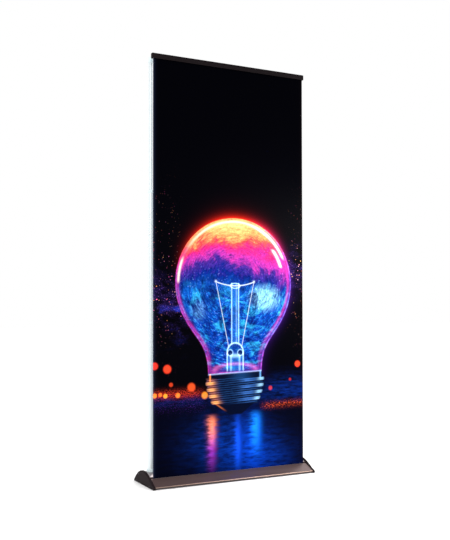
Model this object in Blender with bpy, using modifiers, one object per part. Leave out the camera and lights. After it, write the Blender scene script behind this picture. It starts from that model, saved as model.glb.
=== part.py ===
"""Roll-up banner stand: a wide domed base with a spring roller inside, two telescopic
poles behind the banner, a snap-open top rail, and the printed film between them.

Metres, +Z up. X runs along the base, the front faces -Y, and the origin is the centre
of the footprint on the floor. Run it with: blender --background --python part.py
"""

from math import acos, asin, atan2, cos, hypot, pi, radians, sin

import bmesh
import bpy
from mathutils import Vector

# ---- driving dimensions -------------------------------------------------------------
CLEAR = 0.0003  # gap between two pieces that touch or seat
SMOOTH_ANGLE = radians(35)
SHARPEST_MITRE = 0.3  # limits how far a wall reaches into a sharp corner

# banner film
BANNER_WIDTH = 0.850
BANNER_DROP = 2.020  # printed height between the slot and the rail
FILM_THICKNESS = 0.0005
FILM_GRIP = 0.012  # length held inside the top rail
FILM_Y = -0.057  # plane in which the film hangs

# base
CAP_OVERHANG = 0.027  # from the film's edge to the outside of an end cap
BASE_FRONT = 0.148  # from the dome's ridge to the front
BASE_BACK = 0.112  # from the dome's ridge to the back
BASE_HEIGHT = 0.068
DOME_FULLNESS = 0.85  # 1 is a plain cosine, less is fuller
RIDGE_Y = (BASE_FRONT - BASE_BACK) / 2
CAP_PROUD = 0.005  # how far the end caps stand proud of the housing
CAP_THICKNESS = 0.012
CAP_RECESS = 0.006
CAP_BOTTOM = 0.001
CAP_EDGE = 0.0025
NOSE_RADIUS = 0.0072
NOSE_BLEND = 0.020  # from the nose to where the cap's dome starts
WALL = 0.002
FLOOR_BOTTOM = 0.0028
PLINTH_HEIGHT = 0.0085
PLINTH_SETBACK = 0.0055
BEAD_RADIUS = 0.0026
BEAD_HEIGHT = 0.0112
BEAD_BLEND = 0.7  # where the ramp leaves the bead, as a share of its radius
COVER_TUCK = 0.003  # how far the front cover hooks behind the plinth
SLOT_STEP = 0.0067419  # the slot's front edge below its rear edge
SLOT_WIDTH = 0.0085
SLOT_AHEAD = 0.35  # share of the slot that is in front of the film
SLOT_LEG = 0.007
GUIDE_DROP = 0.001  # slot guide below the slot's front edge
PILE_DEPTH = 0.0025  # brush below the slot's front edge
PILE_RISE = 0.0020  # and above it

# feet and screws
FOOT_RADIUS = 0.012
FOOT_INSET_X = 0.060
FOOT_INSET_Y = 0.030
SCREW_SHANK = 0.0018
SCREW_HEAD = 0.0038
SCREW_HEAD_HEIGHT = 0.0022
SCREW_CROWN_RADIUS = 0.7  # flat top of the head, as a share of its radius
SCREW_CROWN_HEIGHT = 0.45  # sloping part of the head, as a share of its height
SCREW_REACH = 0.014
BOSS_WALL = 0.0021
BOSS_SINK = 0.0006  # how far a boss runs into the wall that carries it
BOSS_SHARE_FRONT = 0.62  # places of the bosses between the ridge and the front or back
BOSS_SHARE_TOP = 0.42
BOSS_SHARE_BACK = 0.72

# roller
TUBE_RADIUS = 0.0125
TUBE_WALL = 0.0012
TUBE_OVERHANG = 0.0025  # tube beyond the film's edge
WRAP_THICKNESS = 0.0012  # film left on the tube when the banner is up
REWIND_ROOM = 0.0046  # the roll grows by less than this when the banner is in
PLUG_DEPTH = 0.020
PLUG_FLANGE = 0.003
JOURNAL_RADIUS = 0.0039
BUSH_WALL = 0.0023
BUSH_DEPTH = 0.004
SHAFT_RADIUS = 0.0045
SHAFT_LENGTH = 0.345
SPRING_RADIUS = 0.0085
SPRING_WIRE = 0.0008
SPRING_TURNS = 12
SPRING_END_GAP = 0.006  # from the spring to the plug at its far end

# poles
POLE_INSET = 0.015  # pole axis from the film's edge
POLE_Y = 0.012
POLE_WALL = 0.0012
LOWER_RADIUS = 0.0150
MIDDLE_RADIUS = 0.0125
UPPER_RADIUS = 0.0098
LOWER_TOP = 0.778
SECTION_OVERLAP = 0.090
LOCK_HEIGHT = 0.014
LOCK_PROUD = 0.0007
LOCK_CHAMFER = 0.0006
LOCK_CHAMFER_HEIGHT = 0.0012
SPIGOT_DEPTH = 0.020
GUIDE_HEIGHT = 0.012
SOCKET_WALL = 0.0010
COLLAR_HEIGHT = 0.0115
COLLAR_WALL = 0.0025
HEAD_RADIUS = 0.0115
HEAD_RISE = 0.001  # head above the top of the rail
HEAD_HEIGHT = 0.028
HEAD_ROUND = 0.004
HEAD_BORE = 0.018
RING_HEIGHT = 0.0075
RING_INSET = 0.0006  # ring inside the outline of the head

# top rail, measured from the film plane and the rail's bottom
RAIL_OVERHANG = 0.006
RAIL_HEIGHT = 0.025
RAIL_FRONT = 0.006
RAIL_BACK = 0.012
RAIL_WALL = 0.0022
RAIL_CAP = 0.003
CHANNEL_LOW = 0.008
CHANNEL_HIGH = 0.018
HINGE_DROP = 0.0044  # hinge axis below the top of the rail
HINGE_RADIUS = 0.0018
JAW_LIP = 0.0025
JAW_LIP_SLOPE = 1.4  # rise of the lip's inside, as a share of the lip
GROOVE_PLACE = 0.45  # share of the jaw's height below the groove
GROOVE_DEPTH = 0.0006
GROOVE_HEIGHT = 0.0014
GROOVE_FLOOR = (0.25, 0.75)  # where the groove's floor starts and ends, as shares
RAIL_CORNER = 0.002
HOOK_WIDTH = 0.012
HOOK_THICKNESS = 0.006
HOOK_NOSE = 0.0028
HOOK_DROP = 0.0035  # nose below the channel's lower lip

# ---- sizes that follow --------------------------------------------------------------
BASE_HALF = BANNER_WIDTH / 2 + CAP_OVERHANG
CAP_INNER = BASE_HALF - CAP_THICKNESS
RECESS_FLOOR = CAP_INNER + CAP_RECESS
HOUSING_HALF = RECESS_FLOOR - CLEAR
FLOOR_TOP = FLOOR_BOTTOM + WALL
FOOT_THICKNESS = FLOOR_BOTTOM - CLEAR
BEAD_Y = RIDGE_Y - BASE_FRONT + NOSE_RADIUS
SLOT_FRONT = FILM_Y - SLOT_WIDTH * SLOT_AHEAD
SLOT_REAR = SLOT_FRONT + SLOT_WIDTH


def dome_height(y, inset):
    """Height of the dome above the floor, for a dome inset from the end caps' one."""
    reach = (BASE_FRONT if y < RIDGE_Y else BASE_BACK) - inset
    share = min(abs(y - RIDGE_Y) / reach, 1.0)
    rise = BASE_HEIGHT - inset - CAP_BOTTOM
    return CAP_BOTTOM + rise * max(cos(share * pi / 2), 0.0) ** DOME_FULLNESS


SLOT_HEIGHT = dome_height(SLOT_REAR, CAP_PROUD) - SLOT_STEP
ROLL_RADIUS = TUBE_RADIUS + CLEAR + WRAP_THICKNESS
ROLLER_Y = FILM_Y + FILM_THICKNESS / 2 + CLEAR + ROLL_RADIUS
ROLLER_Z = FLOOR_TOP + ROLL_RADIUS + REWIND_ROOM
TUBE_HALF = BANNER_WIDTH / 2 + TUBE_OVERHANG
TUBE_BORE = TUBE_RADIUS - TUBE_WALL
POLE_X = BANNER_WIDTH / 2 - POLE_INSET
SOCKET_BORE = LOWER_RADIUS + CLEAR
SOCKET_RADIUS = SOCKET_BORE + SOCKET_WALL
RAIL_BOTTOM = SLOT_HEIGHT + BANNER_DROP
RAIL_TOP = RAIL_BOTTOM + RAIL_HEIGHT
RAIL_HALF = BANNER_WIDTH / 2 + RAIL_OVERHANG
RAIL_CUT = RAIL_HALF - RAIL_CAP - CLEAR
HEAD_TOP = RAIL_TOP + HEAD_RISE
HEAD_BOTTOM = HEAD_TOP - HEAD_HEIGHT
MIDDLE_TOP = (LOWER_TOP + HEAD_BOTTOM) / 2  # the two thinner sections show equally
UPPER_TOP = HEAD_BOTTOM + HEAD_BORE - CLEAR
HINGE_Y = FILM_Y - RAIL_FRONT + HINGE_RADIUS
HINGE_Z = RAIL_TOP - HINGE_DROP
SIDES = {"left": -1, "right": 1}

# ---- scene, materials and helpers ---------------------------------------------------
ALONG_X = (pi / 2, 0, pi / 2)  # an outline's own x, y and z become world Y, Z and X
LYING_X = (0, pi / 2, 0)  # a turned piece's own z becomes world X


def clear_scene():
    for obj in list(bpy.data.objects):
        bpy.data.objects.remove(obj)


def new_collection(name):
    group = bpy.data.collections.new(name)
    bpy.context.scene.collection.children.link(group)
    return group


clear_scene()
STAND = new_collection("roll_up_banner_stand")
CUTTERS = new_collection("cutters")


def material(name, colour, roughness, metallic):
    mat = bpy.data.materials.new(name)
    mat.use_nodes = True
    shader = mat.node_tree.nodes["Principled BSDF"]
    shader.inputs["Base Color"].default_value = (*colour, 1.0)
    shader.inputs["Roughness"].default_value = roughness
    shader.inputs["Metallic"].default_value = metallic
    return mat


BRONZE = material("bronze_anodised_aluminium", (0.125, 0.095, 0.095), 0.28, 1.0)
CAP_PLASTIC = material("dark_bronze_plastic", (0.030, 0.024, 0.030), 0.30, 0.2)
DARK_BRONZE = material("dark_bronze_rail", (0.040, 0.030, 0.032), 0.30, 1.0)
SILVER = material("pale_silver_tube", (0.80, 0.86, 0.88), 0.22, 0.6)
PALE_PLASTIC = material("pale_plastic", (0.72, 0.82, 0.85), 0.35, 0.0)
STEEL = material("dark_screw_steel", (0.12, 0.12, 0.13), 0.30, 1.0)
SPRING_STEEL = material("spring_steel", (0.35, 0.36, 0.38), 0.30, 1.0)
ALUMINIUM = material("mill_aluminium", (0.70, 0.71, 0.72), 0.35, 1.0)
BLACK_PLASTIC = material("black_plastic", (0.02, 0.02, 0.02), 0.45, 0.0)
RUBBER = material("black_rubber", (0.02, 0.02, 0.02), 0.85, 0.0)
PILE = material("brush_pile", (0.03, 0.03, 0.035), 0.95, 0.0)
FILM = material("printed_film", (0.01, 0.012, 0.03), 0.45, 0.0)
FILM_BACK = material("film_back", (0.55, 0.56, 0.58), 0.55, 0.0)


def add(name, data, mat, group=STAND):
    obj = bpy.data.objects.new(name, data)
    group.objects.link(obj)
    if mat:
        data.materials.append(mat)
    return obj


def mesh_object(name, bm, mat, group=STAND):
    """A mesh object from a bmesh, shaded smooth up to SMOOTH_ANGLE."""
    mesh = bpy.data.meshes.new(name)
    bm.to_mesh(mesh)
    bm.free()
    mesh.shade_smooth()
    mesh.set_sharp_from_angle(angle=SMOOTH_ANGLE)
    return add(name, mesh, mat, group)


def as_mesh(curve_obj, mat, group=STAND):
    """Turns a filled curve into a welded mesh object of the same name and place."""
    name = curve_obj.name
    depsgraph = bpy.context.evaluated_depsgraph_get()
    mesh = bpy.data.meshes.new_from_object(curve_obj.evaluated_get(depsgraph))
    bm = bmesh.new()
    bm.from_mesh(mesh)
    bmesh.ops.remove_doubles(bm, verts=bm.verts, dist=1e-6)
    mesh.materials.clear()
    place = curve_obj.matrix_world.copy()
    bpy.data.objects.remove(curve_obj)
    obj = mesh_object(name, bm, mat, group)
    obj.matrix_world = place
    return obj


def extrusion(name, loops, x_low, x_high, mat, group=STAND):
    """Outlines in the YZ plane, extruded along X from x_low to x_high."""
    curve = bpy.data.curves.new(name, "CURVE")
    curve.dimensions = "2D"
    curve.fill_mode = "BOTH"
    curve.extrude = (x_high - x_low) / 2
    for loop in loops:
        spline = curve.splines.new("POLY")
        spline.points.add(len(loop) - 1)
        for point, (y, z) in zip(spline.points, loop):
            point.co = (y, z, 0, 1)
        spline.use_cyclic_u = True
    obj = add(name, curve, None, group)
    obj.location.x = (x_low + x_high) / 2
    obj.rotation_euler = ALONG_X
    bpy.context.view_layer.update()
    return as_mesh(obj, mat, group)


def box(name, low, high, mat, group=STAND):
    """A plain block between two corners."""
    bm = bmesh.new()
    bmesh.ops.create_cube(bm, size=1.0)
    size = Vector(high) - Vector(low)
    bmesh.ops.scale(bm, vec=size, verts=bm.verts)
    obj = mesh_object(name, bm, mat, group)
    obj.location = (Vector(low) + Vector(high)) / 2
    return obj


def rod(name, radius, length, centre, along_x, mat, group=STAND, sides=24):
    """A plain cylinder about its centre, upright or lying along X."""
    bm = bmesh.new()
    bmesh.ops.create_cone(
        bm, cap_ends=True, segments=sides, radius1=radius, radius2=radius, depth=length
    )
    obj = mesh_object(name, bm, mat, group)
    obj.location = centre
    if along_x:
        obj.rotation_euler = LYING_X
    return obj


def turned(name, profile, origin, mat, lying=False, closed=True, steps=24):
    """A profile of (radius, height) points, down the outside first, turned about z."""
    mesh = bpy.data.meshes.new(name)
    links = [(i, i + 1) for i in range(len(profile) - 1)]
    if closed:
        links.append((len(profile) - 1, 0))
    mesh.from_pydata([(r, 0, z) for r, z in profile], links, [])
    obj = add(name, mesh, mat)
    screw = obj.modifiers.new("turn", "SCREW")
    screw.steps = steps
    screw.render_steps = steps
    screw.use_merge_vertices = True
    screw.merge_threshold = 0.00001
    screw.use_smooth_shade = True
    obj.location = origin
    if lying:
        obj.rotation_euler = LYING_X
    return obj


def tube(name, outer, bore, low, high, origin, mat, lying=False, steps=24):
    """A plain ring or pipe between two heights."""
    profile = [(outer, high), (outer, low), (bore, low), (bore, high)]
    return turned(name, profile, origin, mat, lying, steps=steps)


def boolean(obj, other, operation):
    """Joins or cuts obj with a hidden guide solid."""
    mod = obj.modifiers.new(operation.lower() + "_" + other.name, "BOOLEAN")
    mod.operation = operation
    mod.solver = "EXACT"
    mod.object = other
    other.hide_render = True
    other.display_type = "WIRE"


def bevel(obj, width, segments=2):
    mod = obj.modifiers.new("edge", "BEVEL")
    mod.width = width
    mod.segments = segments
    mod.limit_method = "ANGLE"
    mod.angle_limit = radians(60)


# ---- outlines -----------------------------------------------------------------------
def dome_arc(y_from, inset, lowest, count=18):
    """Points over the dome, from y_from to where its back comes down to lowest."""
    rise = BASE_HEIGHT - inset - CAP_BOTTOM
    last_cosine = (max(lowest - CAP_BOTTOM, 0.0) / rise) ** (1 / DOME_FULLNESS)
    angle_from = asin(max(-1.0, (y_from - RIDGE_Y) / (BASE_FRONT - inset)))
    angle_to = asin(acos(last_cosine) * 2 / pi)
    points = []
    for i in range(count + 1):
        angle = angle_from + (angle_to - angle_from) * i / count
        reach = (BASE_FRONT if angle < 0 else BASE_BACK) - inset
        y = RIDGE_Y + reach * sin(angle)
        points.append((y, max(dome_height(y, inset), lowest)))
    return points


def arc(centre, radius, start, stop, count):
    """Points on a circle in the YZ plane, angles in degrees from +Y towards +Z."""
    points = []
    for i in range(count + 1):
        angle = radians(start + (stop - start) * i / count)
        points.append((centre[0] + radius * cos(angle), centre[1] + radius * sin(angle)))
    return points


def wall_outline(path, thickness):
    """Closed outline of a sheet that follows path and is thick towards its right."""
    inner = []
    for i, (y, z) in enumerate(path):
        before = path[max(i - 1, 0)]
        after = path[min(i + 1, len(path) - 1)]
        first = Vector((y - before[0], z - before[1]))
        second = Vector((after[0] - y, after[1] - z))
        if i == 0:
            first = second
        if i == len(path) - 1:
            second = first
        first.normalize()
        second.normalize()
        normal = Vector((first.y + second.y, -first.x - second.x)).normalized()
        mitre = max(normal.dot(Vector((first.y, -first.x))), SHARPEST_MITRE)
        inner.append((y + normal.x * thickness / mitre, z + normal.y * thickness / mitre))
    return list(path) + inner[::-1]


def rounded_rectangle(y_low, y_high, z_low, z_high, radius):
    corners = [
        ((y_low + radius, z_low + radius), 180),
        ((y_high - radius, z_low + radius), 270),
        ((y_high - radius, z_high - radius), 0),
        ((y_low + radius, z_high - radius), 90),
    ]
    points = []
    for centre, start in corners:
        points += arc(centre, radius, start, start + 90, 4)
    return points


def ramp_foot():
    """Where the front cover's sloping face starts, just behind its bead."""
    return (BEAD_Y + BEAD_RADIUS * BEAD_BLEND, BEAD_HEIGHT + BEAD_RADIUS * BEAD_BLEND)


def body_outline(clear):
    """Outside of the housing and its front cover, grown by a clearance."""
    front = BEAD_Y - BEAD_RADIUS - clear
    bead = arc((BEAD_Y, BEAD_HEIGHT), BEAD_RADIUS + clear, 180, 100, 4)
    dome = dome_arc(SLOT_FRONT, CAP_PROUD - clear, FLOOR_BOTTOM - clear)
    return [(front, FLOOR_BOTTOM - clear)] + bead + [(SLOT_FRONT, SLOT_HEIGHT + clear)] + dome


# ---- base ---------------------------------------------------------------------------
def boss_places():
    """Screw bosses of the housing: two on its floor and one under its dome."""
    boss_radius = SCREW_SHANK + CLEAR + BOSS_WALL
    low = FLOOR_TOP + boss_radius - BOSS_SINK
    high_y = RIDGE_Y + BASE_BACK * BOSS_SHARE_TOP
    slope = (dome_height(high_y - WALL, CAP_PROUD) - dome_height(high_y, CAP_PROUD)) / WALL
    wall_below = (WALL + boss_radius - BOSS_SINK) * hypot(1, slope)
    high = dome_height(high_y, CAP_PROUD) - wall_below
    front_y = RIDGE_Y - BASE_FRONT * BOSS_SHARE_FRONT
    back_y = RIDGE_Y + BASE_BACK * BOSS_SHARE_BACK
    return {"front": (front_y, low), "top": (high_y, high), "back": (back_y, low)}


def build_housing():
    inner_inset = CAP_PROUD + WALL
    leg_low = dome_height(SLOT_REAR, CAP_PROUD) - SLOT_LEG
    plinth_y = RIDGE_Y - BASE_FRONT + PLINTH_SETBACK
    outer = [(SLOT_REAR, leg_low)]
    outer += dome_arc(SLOT_REAR, CAP_PROUD, FLOOR_BOTTOM)
    outer += [(plinth_y, FLOOR_BOTTOM), (plinth_y, PLINTH_HEIGHT)]
    inner = [(SLOT_REAR + WALL, leg_low)]
    inner += dome_arc(SLOT_REAR + WALL, inner_inset, FLOOR_TOP)
    inner += [(plinth_y + WALL, FLOOR_TOP), (plinth_y + WALL, PLINTH_HEIGHT)]
    outline = outer + inner[::-1]
    housing = extrusion("base_housing", [outline], -HOUSING_HALF, HOUSING_HALF, BRONZE)
    hole_radius = SCREW_SHANK + CLEAR
    for place, (y, z) in boss_places().items():
        boss = rod(
            "guide_boss_" + place, hole_radius + BOSS_WALL, 2 * HOUSING_HALF,
            (0, y, z), True, None, CUTTERS, 16,
        )
        boolean(housing, boss, "UNION")
    for place, (y, z) in boss_places().items():
        hole = rod(
            "cut_boss_" + place, hole_radius, 2 * BASE_HALF, (0, y, z), True, None, CUTTERS, 12
        )
        boolean(housing, hole, "DIFFERENCE")
    for side, sign in SIDES.items():
        hole = rod(
            "cut_socket_" + side, SOCKET_RADIUS + CLEAR, BASE_HEIGHT,
            (sign * POLE_X, POLE_Y, FLOOR_TOP + CLEAR + BASE_HEIGHT / 2), False, None, CUTTERS, 32,
        )
        boolean(housing, hole, "DIFFERENCE")


def build_front_cover():
    foot = ramp_foot()
    path = [
        (foot[0], PLINTH_HEIGHT - COVER_TUCK),
        foot,
        (SLOT_FRONT, SLOT_HEIGHT),
        (SLOT_FRONT, SLOT_HEIGHT - SLOT_LEG),
    ]
    cover = extrusion(
        "front_cover", [wall_outline(path, WALL)], -HOUSING_HALF, HOUSING_HALF, BRONZE
    )
    bead = rod(
        "guide_bead", BEAD_RADIUS, 2 * HOUSING_HALF, (0, BEAD_Y, BEAD_HEIGHT), True, None,
        CUTTERS, 20,
    )
    boolean(cover, bead, "UNION")


def cap_outline():
    """Rounded nose at the front, then the dome down to the back."""
    nose_y = RIDGE_Y - BASE_FRONT + NOSE_RADIUS
    nose = arc((nose_y, CAP_BOTTOM + NOSE_RADIUS), NOSE_RADIUS, 270, 90, 9)
    dome_start = nose_y + NOSE_BLEND
    return nose + dome_arc(dome_start, 0, CAP_BOTTOM, 24)


def build_end_cap(side, sign):
    outer, inner = sign * BASE_HALF, sign * CAP_INNER
    name = "end_cap_" + side
    cap = extrusion(name, [cap_outline()], min(outer, inner), max(outer, inner), CAP_PLASTIC)
    bevel(cap, CAP_EDGE)
    reach = sorted((sign * (CAP_INNER - CAP_THICKNESS), sign * RECESS_FLOOR))
    recess = extrusion("cut_recess_" + side, [body_outline(CLEAR)], *reach, None, CUTTERS)
    boolean(cap, recess, "DIFFERENCE")
    pocket_radius = JOURNAL_RADIUS + BUSH_WALL + 2 * CLEAR if sign < 0 else SHAFT_RADIUS + CLEAR
    pocket = rod(
        "cut_pocket_" + side, pocket_radius, 2 * BUSH_DEPTH,
        (sign * RECESS_FLOOR, ROLLER_Y, ROLLER_Z), True, None, CUTTERS, 24 if sign < 0 else 6,
    )
    boolean(cap, pocket, "DIFFERENCE")
    for place, (y, z) in boss_places().items():
        hole = rod(
            "cut_screw_%s_%s" % (place, side), SCREW_SHANK + CLEAR, 4 * CAP_THICKNESS,
            (outer, y, z), True, None, CUTTERS, 12,
        )
        boolean(cap, hole, "DIFFERENCE")
        seat = rod(
            "cut_seat_%s_%s" % (place, side), SCREW_HEAD + CLEAR, 2 * SCREW_HEAD_HEIGHT + 2 * CLEAR,
            (outer, y, z), True, None, CUTTERS, 20,
        )
        boolean(cap, seat, "DIFFERENCE")


def build_cap_screws(side, sign):
    for place, (y, z) in boss_places().items():
        head = sign * (SCREW_HEAD_HEIGHT + SCREW_REACH)
        profile = [
            (0, head),
            (SCREW_HEAD * SCREW_CROWN_RADIUS, head),
            (SCREW_HEAD, head - sign * SCREW_HEAD_HEIGHT * SCREW_CROWN_HEIGHT),
            (SCREW_HEAD, sign * SCREW_REACH),
            (SCREW_SHANK, sign * SCREW_REACH),
            (SCREW_SHANK, sign * SCREW_SHANK),
            (0, 0),
        ]
        if sign < 0:
            profile.reverse()
        start = sign * (BASE_HALF - SCREW_HEAD_HEIGHT - SCREW_REACH)
        turned(
            "cap_screw_%s_%s" % (place, side), profile, (start, y, z), STEEL,
            lying=True, closed=False, steps=16,
        )


def build_feet():
    front_y = RIDGE_Y - BASE_FRONT + FOOT_INSET_Y
    back_y = RIDGE_Y + BASE_BACK - FOOT_INSET_Y
    for end, y in {"front": front_y, "back": back_y}.items():
        for side, sign in SIDES.items():
            centre = (sign * (BASE_HALF - FOOT_INSET_X), y, FOOT_THICKNESS / 2)
            rod("rubber_foot_%s_%s" % (end, side), FOOT_RADIUS, FOOT_THICKNESS, centre, False, RUBBER)


def build_slot_trim():
    low = SLOT_HEIGHT - SLOT_LEG
    film_front = FILM_Y - FILM_THICKNESS / 2
    film_back = FILM_Y + FILM_THICKNESS / 2
    half = BANNER_WIDTH / 2 + TUBE_OVERHANG
    box(
        "slot_guide", (-half, SLOT_FRONT + CLEAR, low),
        (half, film_front - CLEAR, SLOT_HEIGHT - GUIDE_DROP), BLACK_PLASTIC,
    )
    box(
        "slot_brush", (-half, film_back + CLEAR, SLOT_HEIGHT - PILE_DEPTH),
        (half, SLOT_REAR - CLEAR, SLOT_HEIGHT + PILE_RISE), PILE,
    )


# ---- roller -------------------------------------------------------------------------
def build_roller():
    centre = (0, ROLLER_Y, ROLLER_Z)
    tube("roller_tube", TUBE_RADIUS, TUBE_BORE, -TUBE_HALF, TUBE_HALF, centre, ALUMINIUM, True)
    wrap_half = BANNER_WIDTH / 2
    tube(
        "banner_roll", ROLL_RADIUS, TUBE_RADIUS + CLEAR, -wrap_half, wrap_half, centre,
        FILM_BACK, True, 32,
    )
    end = TUBE_HALF + CLEAR + PLUG_FLANGE
    journal_end = RECESS_FLOOR + BUSH_DEPTH - 2 * CLEAR
    left_profile = [
        (0, -TUBE_HALF + PLUG_DEPTH),
        (TUBE_BORE - CLEAR, -TUBE_HALF + PLUG_DEPTH),
        (TUBE_BORE - CLEAR, -TUBE_HALF - CLEAR),
        (TUBE_RADIUS, -TUBE_HALF - CLEAR),
        (TUBE_RADIUS, -end),
        (JOURNAL_RADIUS, -end),
        (JOURNAL_RADIUS, -journal_end),
        (0, -journal_end),
    ]
    turned("roller_plug_left", left_profile, centre, BLACK_PLASTIC, lying=True, closed=False)
    bore = SHAFT_RADIUS + 2 * CLEAR
    right_profile = [
        (TUBE_RADIUS, end),
        (TUBE_RADIUS, TUBE_HALF + CLEAR),
        (TUBE_BORE - CLEAR, TUBE_HALF + CLEAR),
        (TUBE_BORE - CLEAR, TUBE_HALF - PLUG_DEPTH),
        (bore, TUBE_HALF - PLUG_DEPTH),
        (bore, end),
    ]
    turned("roller_plug_right", right_profile, centre, BLACK_PLASTIC, lying=True)
    shaft_end = RECESS_FLOOR + BUSH_DEPTH - CLEAR
    drive_at = shaft_end - SHAFT_LENGTH + PLUG_DEPTH
    tube(
        "spring_drive_plug", TUBE_BORE - CLEAR, bore, drive_at - PLUG_DEPTH / 2,
        drive_at + PLUG_DEPTH / 2, centre, BLACK_PLASTIC, True,
    )


def build_roller_supports():
    centre = (0, ROLLER_Y, ROLLER_Z)
    bush_end = RECESS_FLOOR + BUSH_DEPTH - CLEAR
    tube(
        "roller_bush_left", JOURNAL_RADIUS + CLEAR + BUSH_WALL, JOURNAL_RADIUS + CLEAR,
        -bush_end, -bush_end + BUSH_DEPTH + WALL, centre, ALUMINIUM, True, 20,
    )
    shaft_end = RECESS_FLOOR + BUSH_DEPTH - CLEAR
    rod(
        "spring_shaft", SHAFT_RADIUS, SHAFT_LENGTH,
        (shaft_end - SHAFT_LENGTH / 2, ROLLER_Y, ROLLER_Z), True, SPRING_STEEL, STAND, 6,
    )


def build_torsion_spring():
    start = RECESS_FLOOR - SHAFT_LENGTH + 2 * PLUG_DEPTH
    stop = TUBE_HALF - PLUG_DEPTH - SPRING_END_GAP
    per_turn = 10
    total = SPRING_TURNS * per_turn
    curve = bpy.data.curves.new("torsion_spring", "CURVE")
    curve.dimensions = "3D"
    curve.bevel_depth = SPRING_WIRE
    curve.bevel_resolution = 1
    curve.use_fill_caps = True
    spline = curve.splines.new("POLY")
    spline.points.add(total)
    for i, point in enumerate(spline.points):
        angle = 2 * pi * i / per_turn
        x = start + (stop - start) * i / total
        point.co = (x, SPRING_RADIUS * cos(angle), SPRING_RADIUS * sin(angle), 1)
    spring = add("torsion_spring", curve, SPRING_STEEL)
    spring.location = (0, ROLLER_Y, ROLLER_Z)


# ---- film ---------------------------------------------------------------------------
def build_film():
    front, back = FILM_Y - FILM_THICKNESS / 2, FILM_Y + FILM_THICKNESS / 2
    half = BANNER_WIDTH / 2
    box(
        "banner_leader", (-half, front, ROLLER_Z), (half, back, SLOT_HEIGHT - CLEAR), FILM_BACK
    )
    box(
        "banner_sheet", (-half, front, SLOT_HEIGHT), (half, back, RAIL_BOTTOM + FILM_GRIP), FILM
    )


# ---- poles --------------------------------------------------------------------------
def build_foot(side, sign):
    place = (sign * POLE_X, POLE_Y, 0)
    top = dome_height(POLE_Y, CAP_PROUD)
    tube(
        "pole_socket_" + side, SOCKET_RADIUS, SOCKET_BORE, FLOOR_TOP + CLEAR, top - WALL, place,
        BLACK_PLASTIC,
    )
    collar = tube(
        "foot_collar_" + side, SOCKET_RADIUS + COLLAR_WALL, SOCKET_BORE, top - 2 * WALL,
        top + COLLAR_HEIGHT, place, PALE_PLASTIC,
    )
    width = 2 * (SOCKET_RADIUS + COLLAR_WALL)
    dome = extrusion(
        "cut_dome_" + side, [body_outline(CLEAR)], place[0] - width, place[0] + width, None, CUTTERS
    )
    boolean(collar, dome, "DIFFERENCE")


def lock_ring(name, tube_radius, inner_tube, top, place):
    """Twist lock on top of a tube, with a spigot inside it and the next tube through it."""
    bore = inner_tube + CLEAR
    spigot = tube_radius - POLE_WALL - CLEAR
    seat = top + CLEAR
    outer = tube_radius + LOCK_PROUD
    profile = [
        (outer - LOCK_CHAMFER, seat + LOCK_HEIGHT),
        (outer, seat + LOCK_HEIGHT - LOCK_CHAMFER_HEIGHT),
        (outer, seat),
        (spigot, seat),
        (spigot, seat - SPIGOT_DEPTH),
        (bore, seat - SPIGOT_DEPTH),
        (bore, seat + LOCK_HEIGHT),
    ]
    turned(name, profile, place, PALE_PLASTIC)


def guide_plug(name, tube_radius, outer_bore, bottom, place):
    """Guide in the foot of a sliding tube, running in the tube outside it."""
    spigot = tube_radius - POLE_WALL - CLEAR
    bore = spigot - POLE_WALL
    foot = bottom - CLEAR
    profile = [
        (spigot, foot + SPIGOT_DEPTH),
        (spigot, foot),
        (outer_bore - CLEAR, foot),
        (outer_bore - CLEAR, foot - GUIDE_HEIGHT),
        (bore, foot - GUIDE_HEIGHT),
        (bore, foot + SPIGOT_DEPTH),
    ]
    turned(name, profile, place, BLACK_PLASTIC)


def build_pole(side, sign):
    place = (sign * POLE_X, POLE_Y, 0)
    lower_bore = LOWER_RADIUS - POLE_WALL
    middle_bore = MIDDLE_RADIUS - POLE_WALL
    middle_low = LOWER_TOP - SECTION_OVERLAP
    upper_low = MIDDLE_TOP - SECTION_OVERLAP
    foot = FLOOR_TOP + CLEAR
    tube("pole_lower_" + side, LOWER_RADIUS, lower_bore, foot, LOWER_TOP, place, SILVER)
    tube("pole_middle_" + side, MIDDLE_RADIUS, middle_bore, middle_low, MIDDLE_TOP, place, SILVER)
    upper_bore = UPPER_RADIUS - POLE_WALL
    tube("pole_upper_" + side, UPPER_RADIUS, upper_bore, upper_low, UPPER_TOP, place, SILVER)
    lock_ring("lower_lock_" + side, LOWER_RADIUS, MIDDLE_RADIUS, LOWER_TOP, place)
    lock_ring("middle_lock_" + side, MIDDLE_RADIUS, UPPER_RADIUS, MIDDLE_TOP, place)
    guide_plug("middle_guide_" + side, MIDDLE_RADIUS, lower_bore, middle_low, place)
    guide_plug("upper_guide_" + side, UPPER_RADIUS, middle_bore, upper_low, place)


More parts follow.
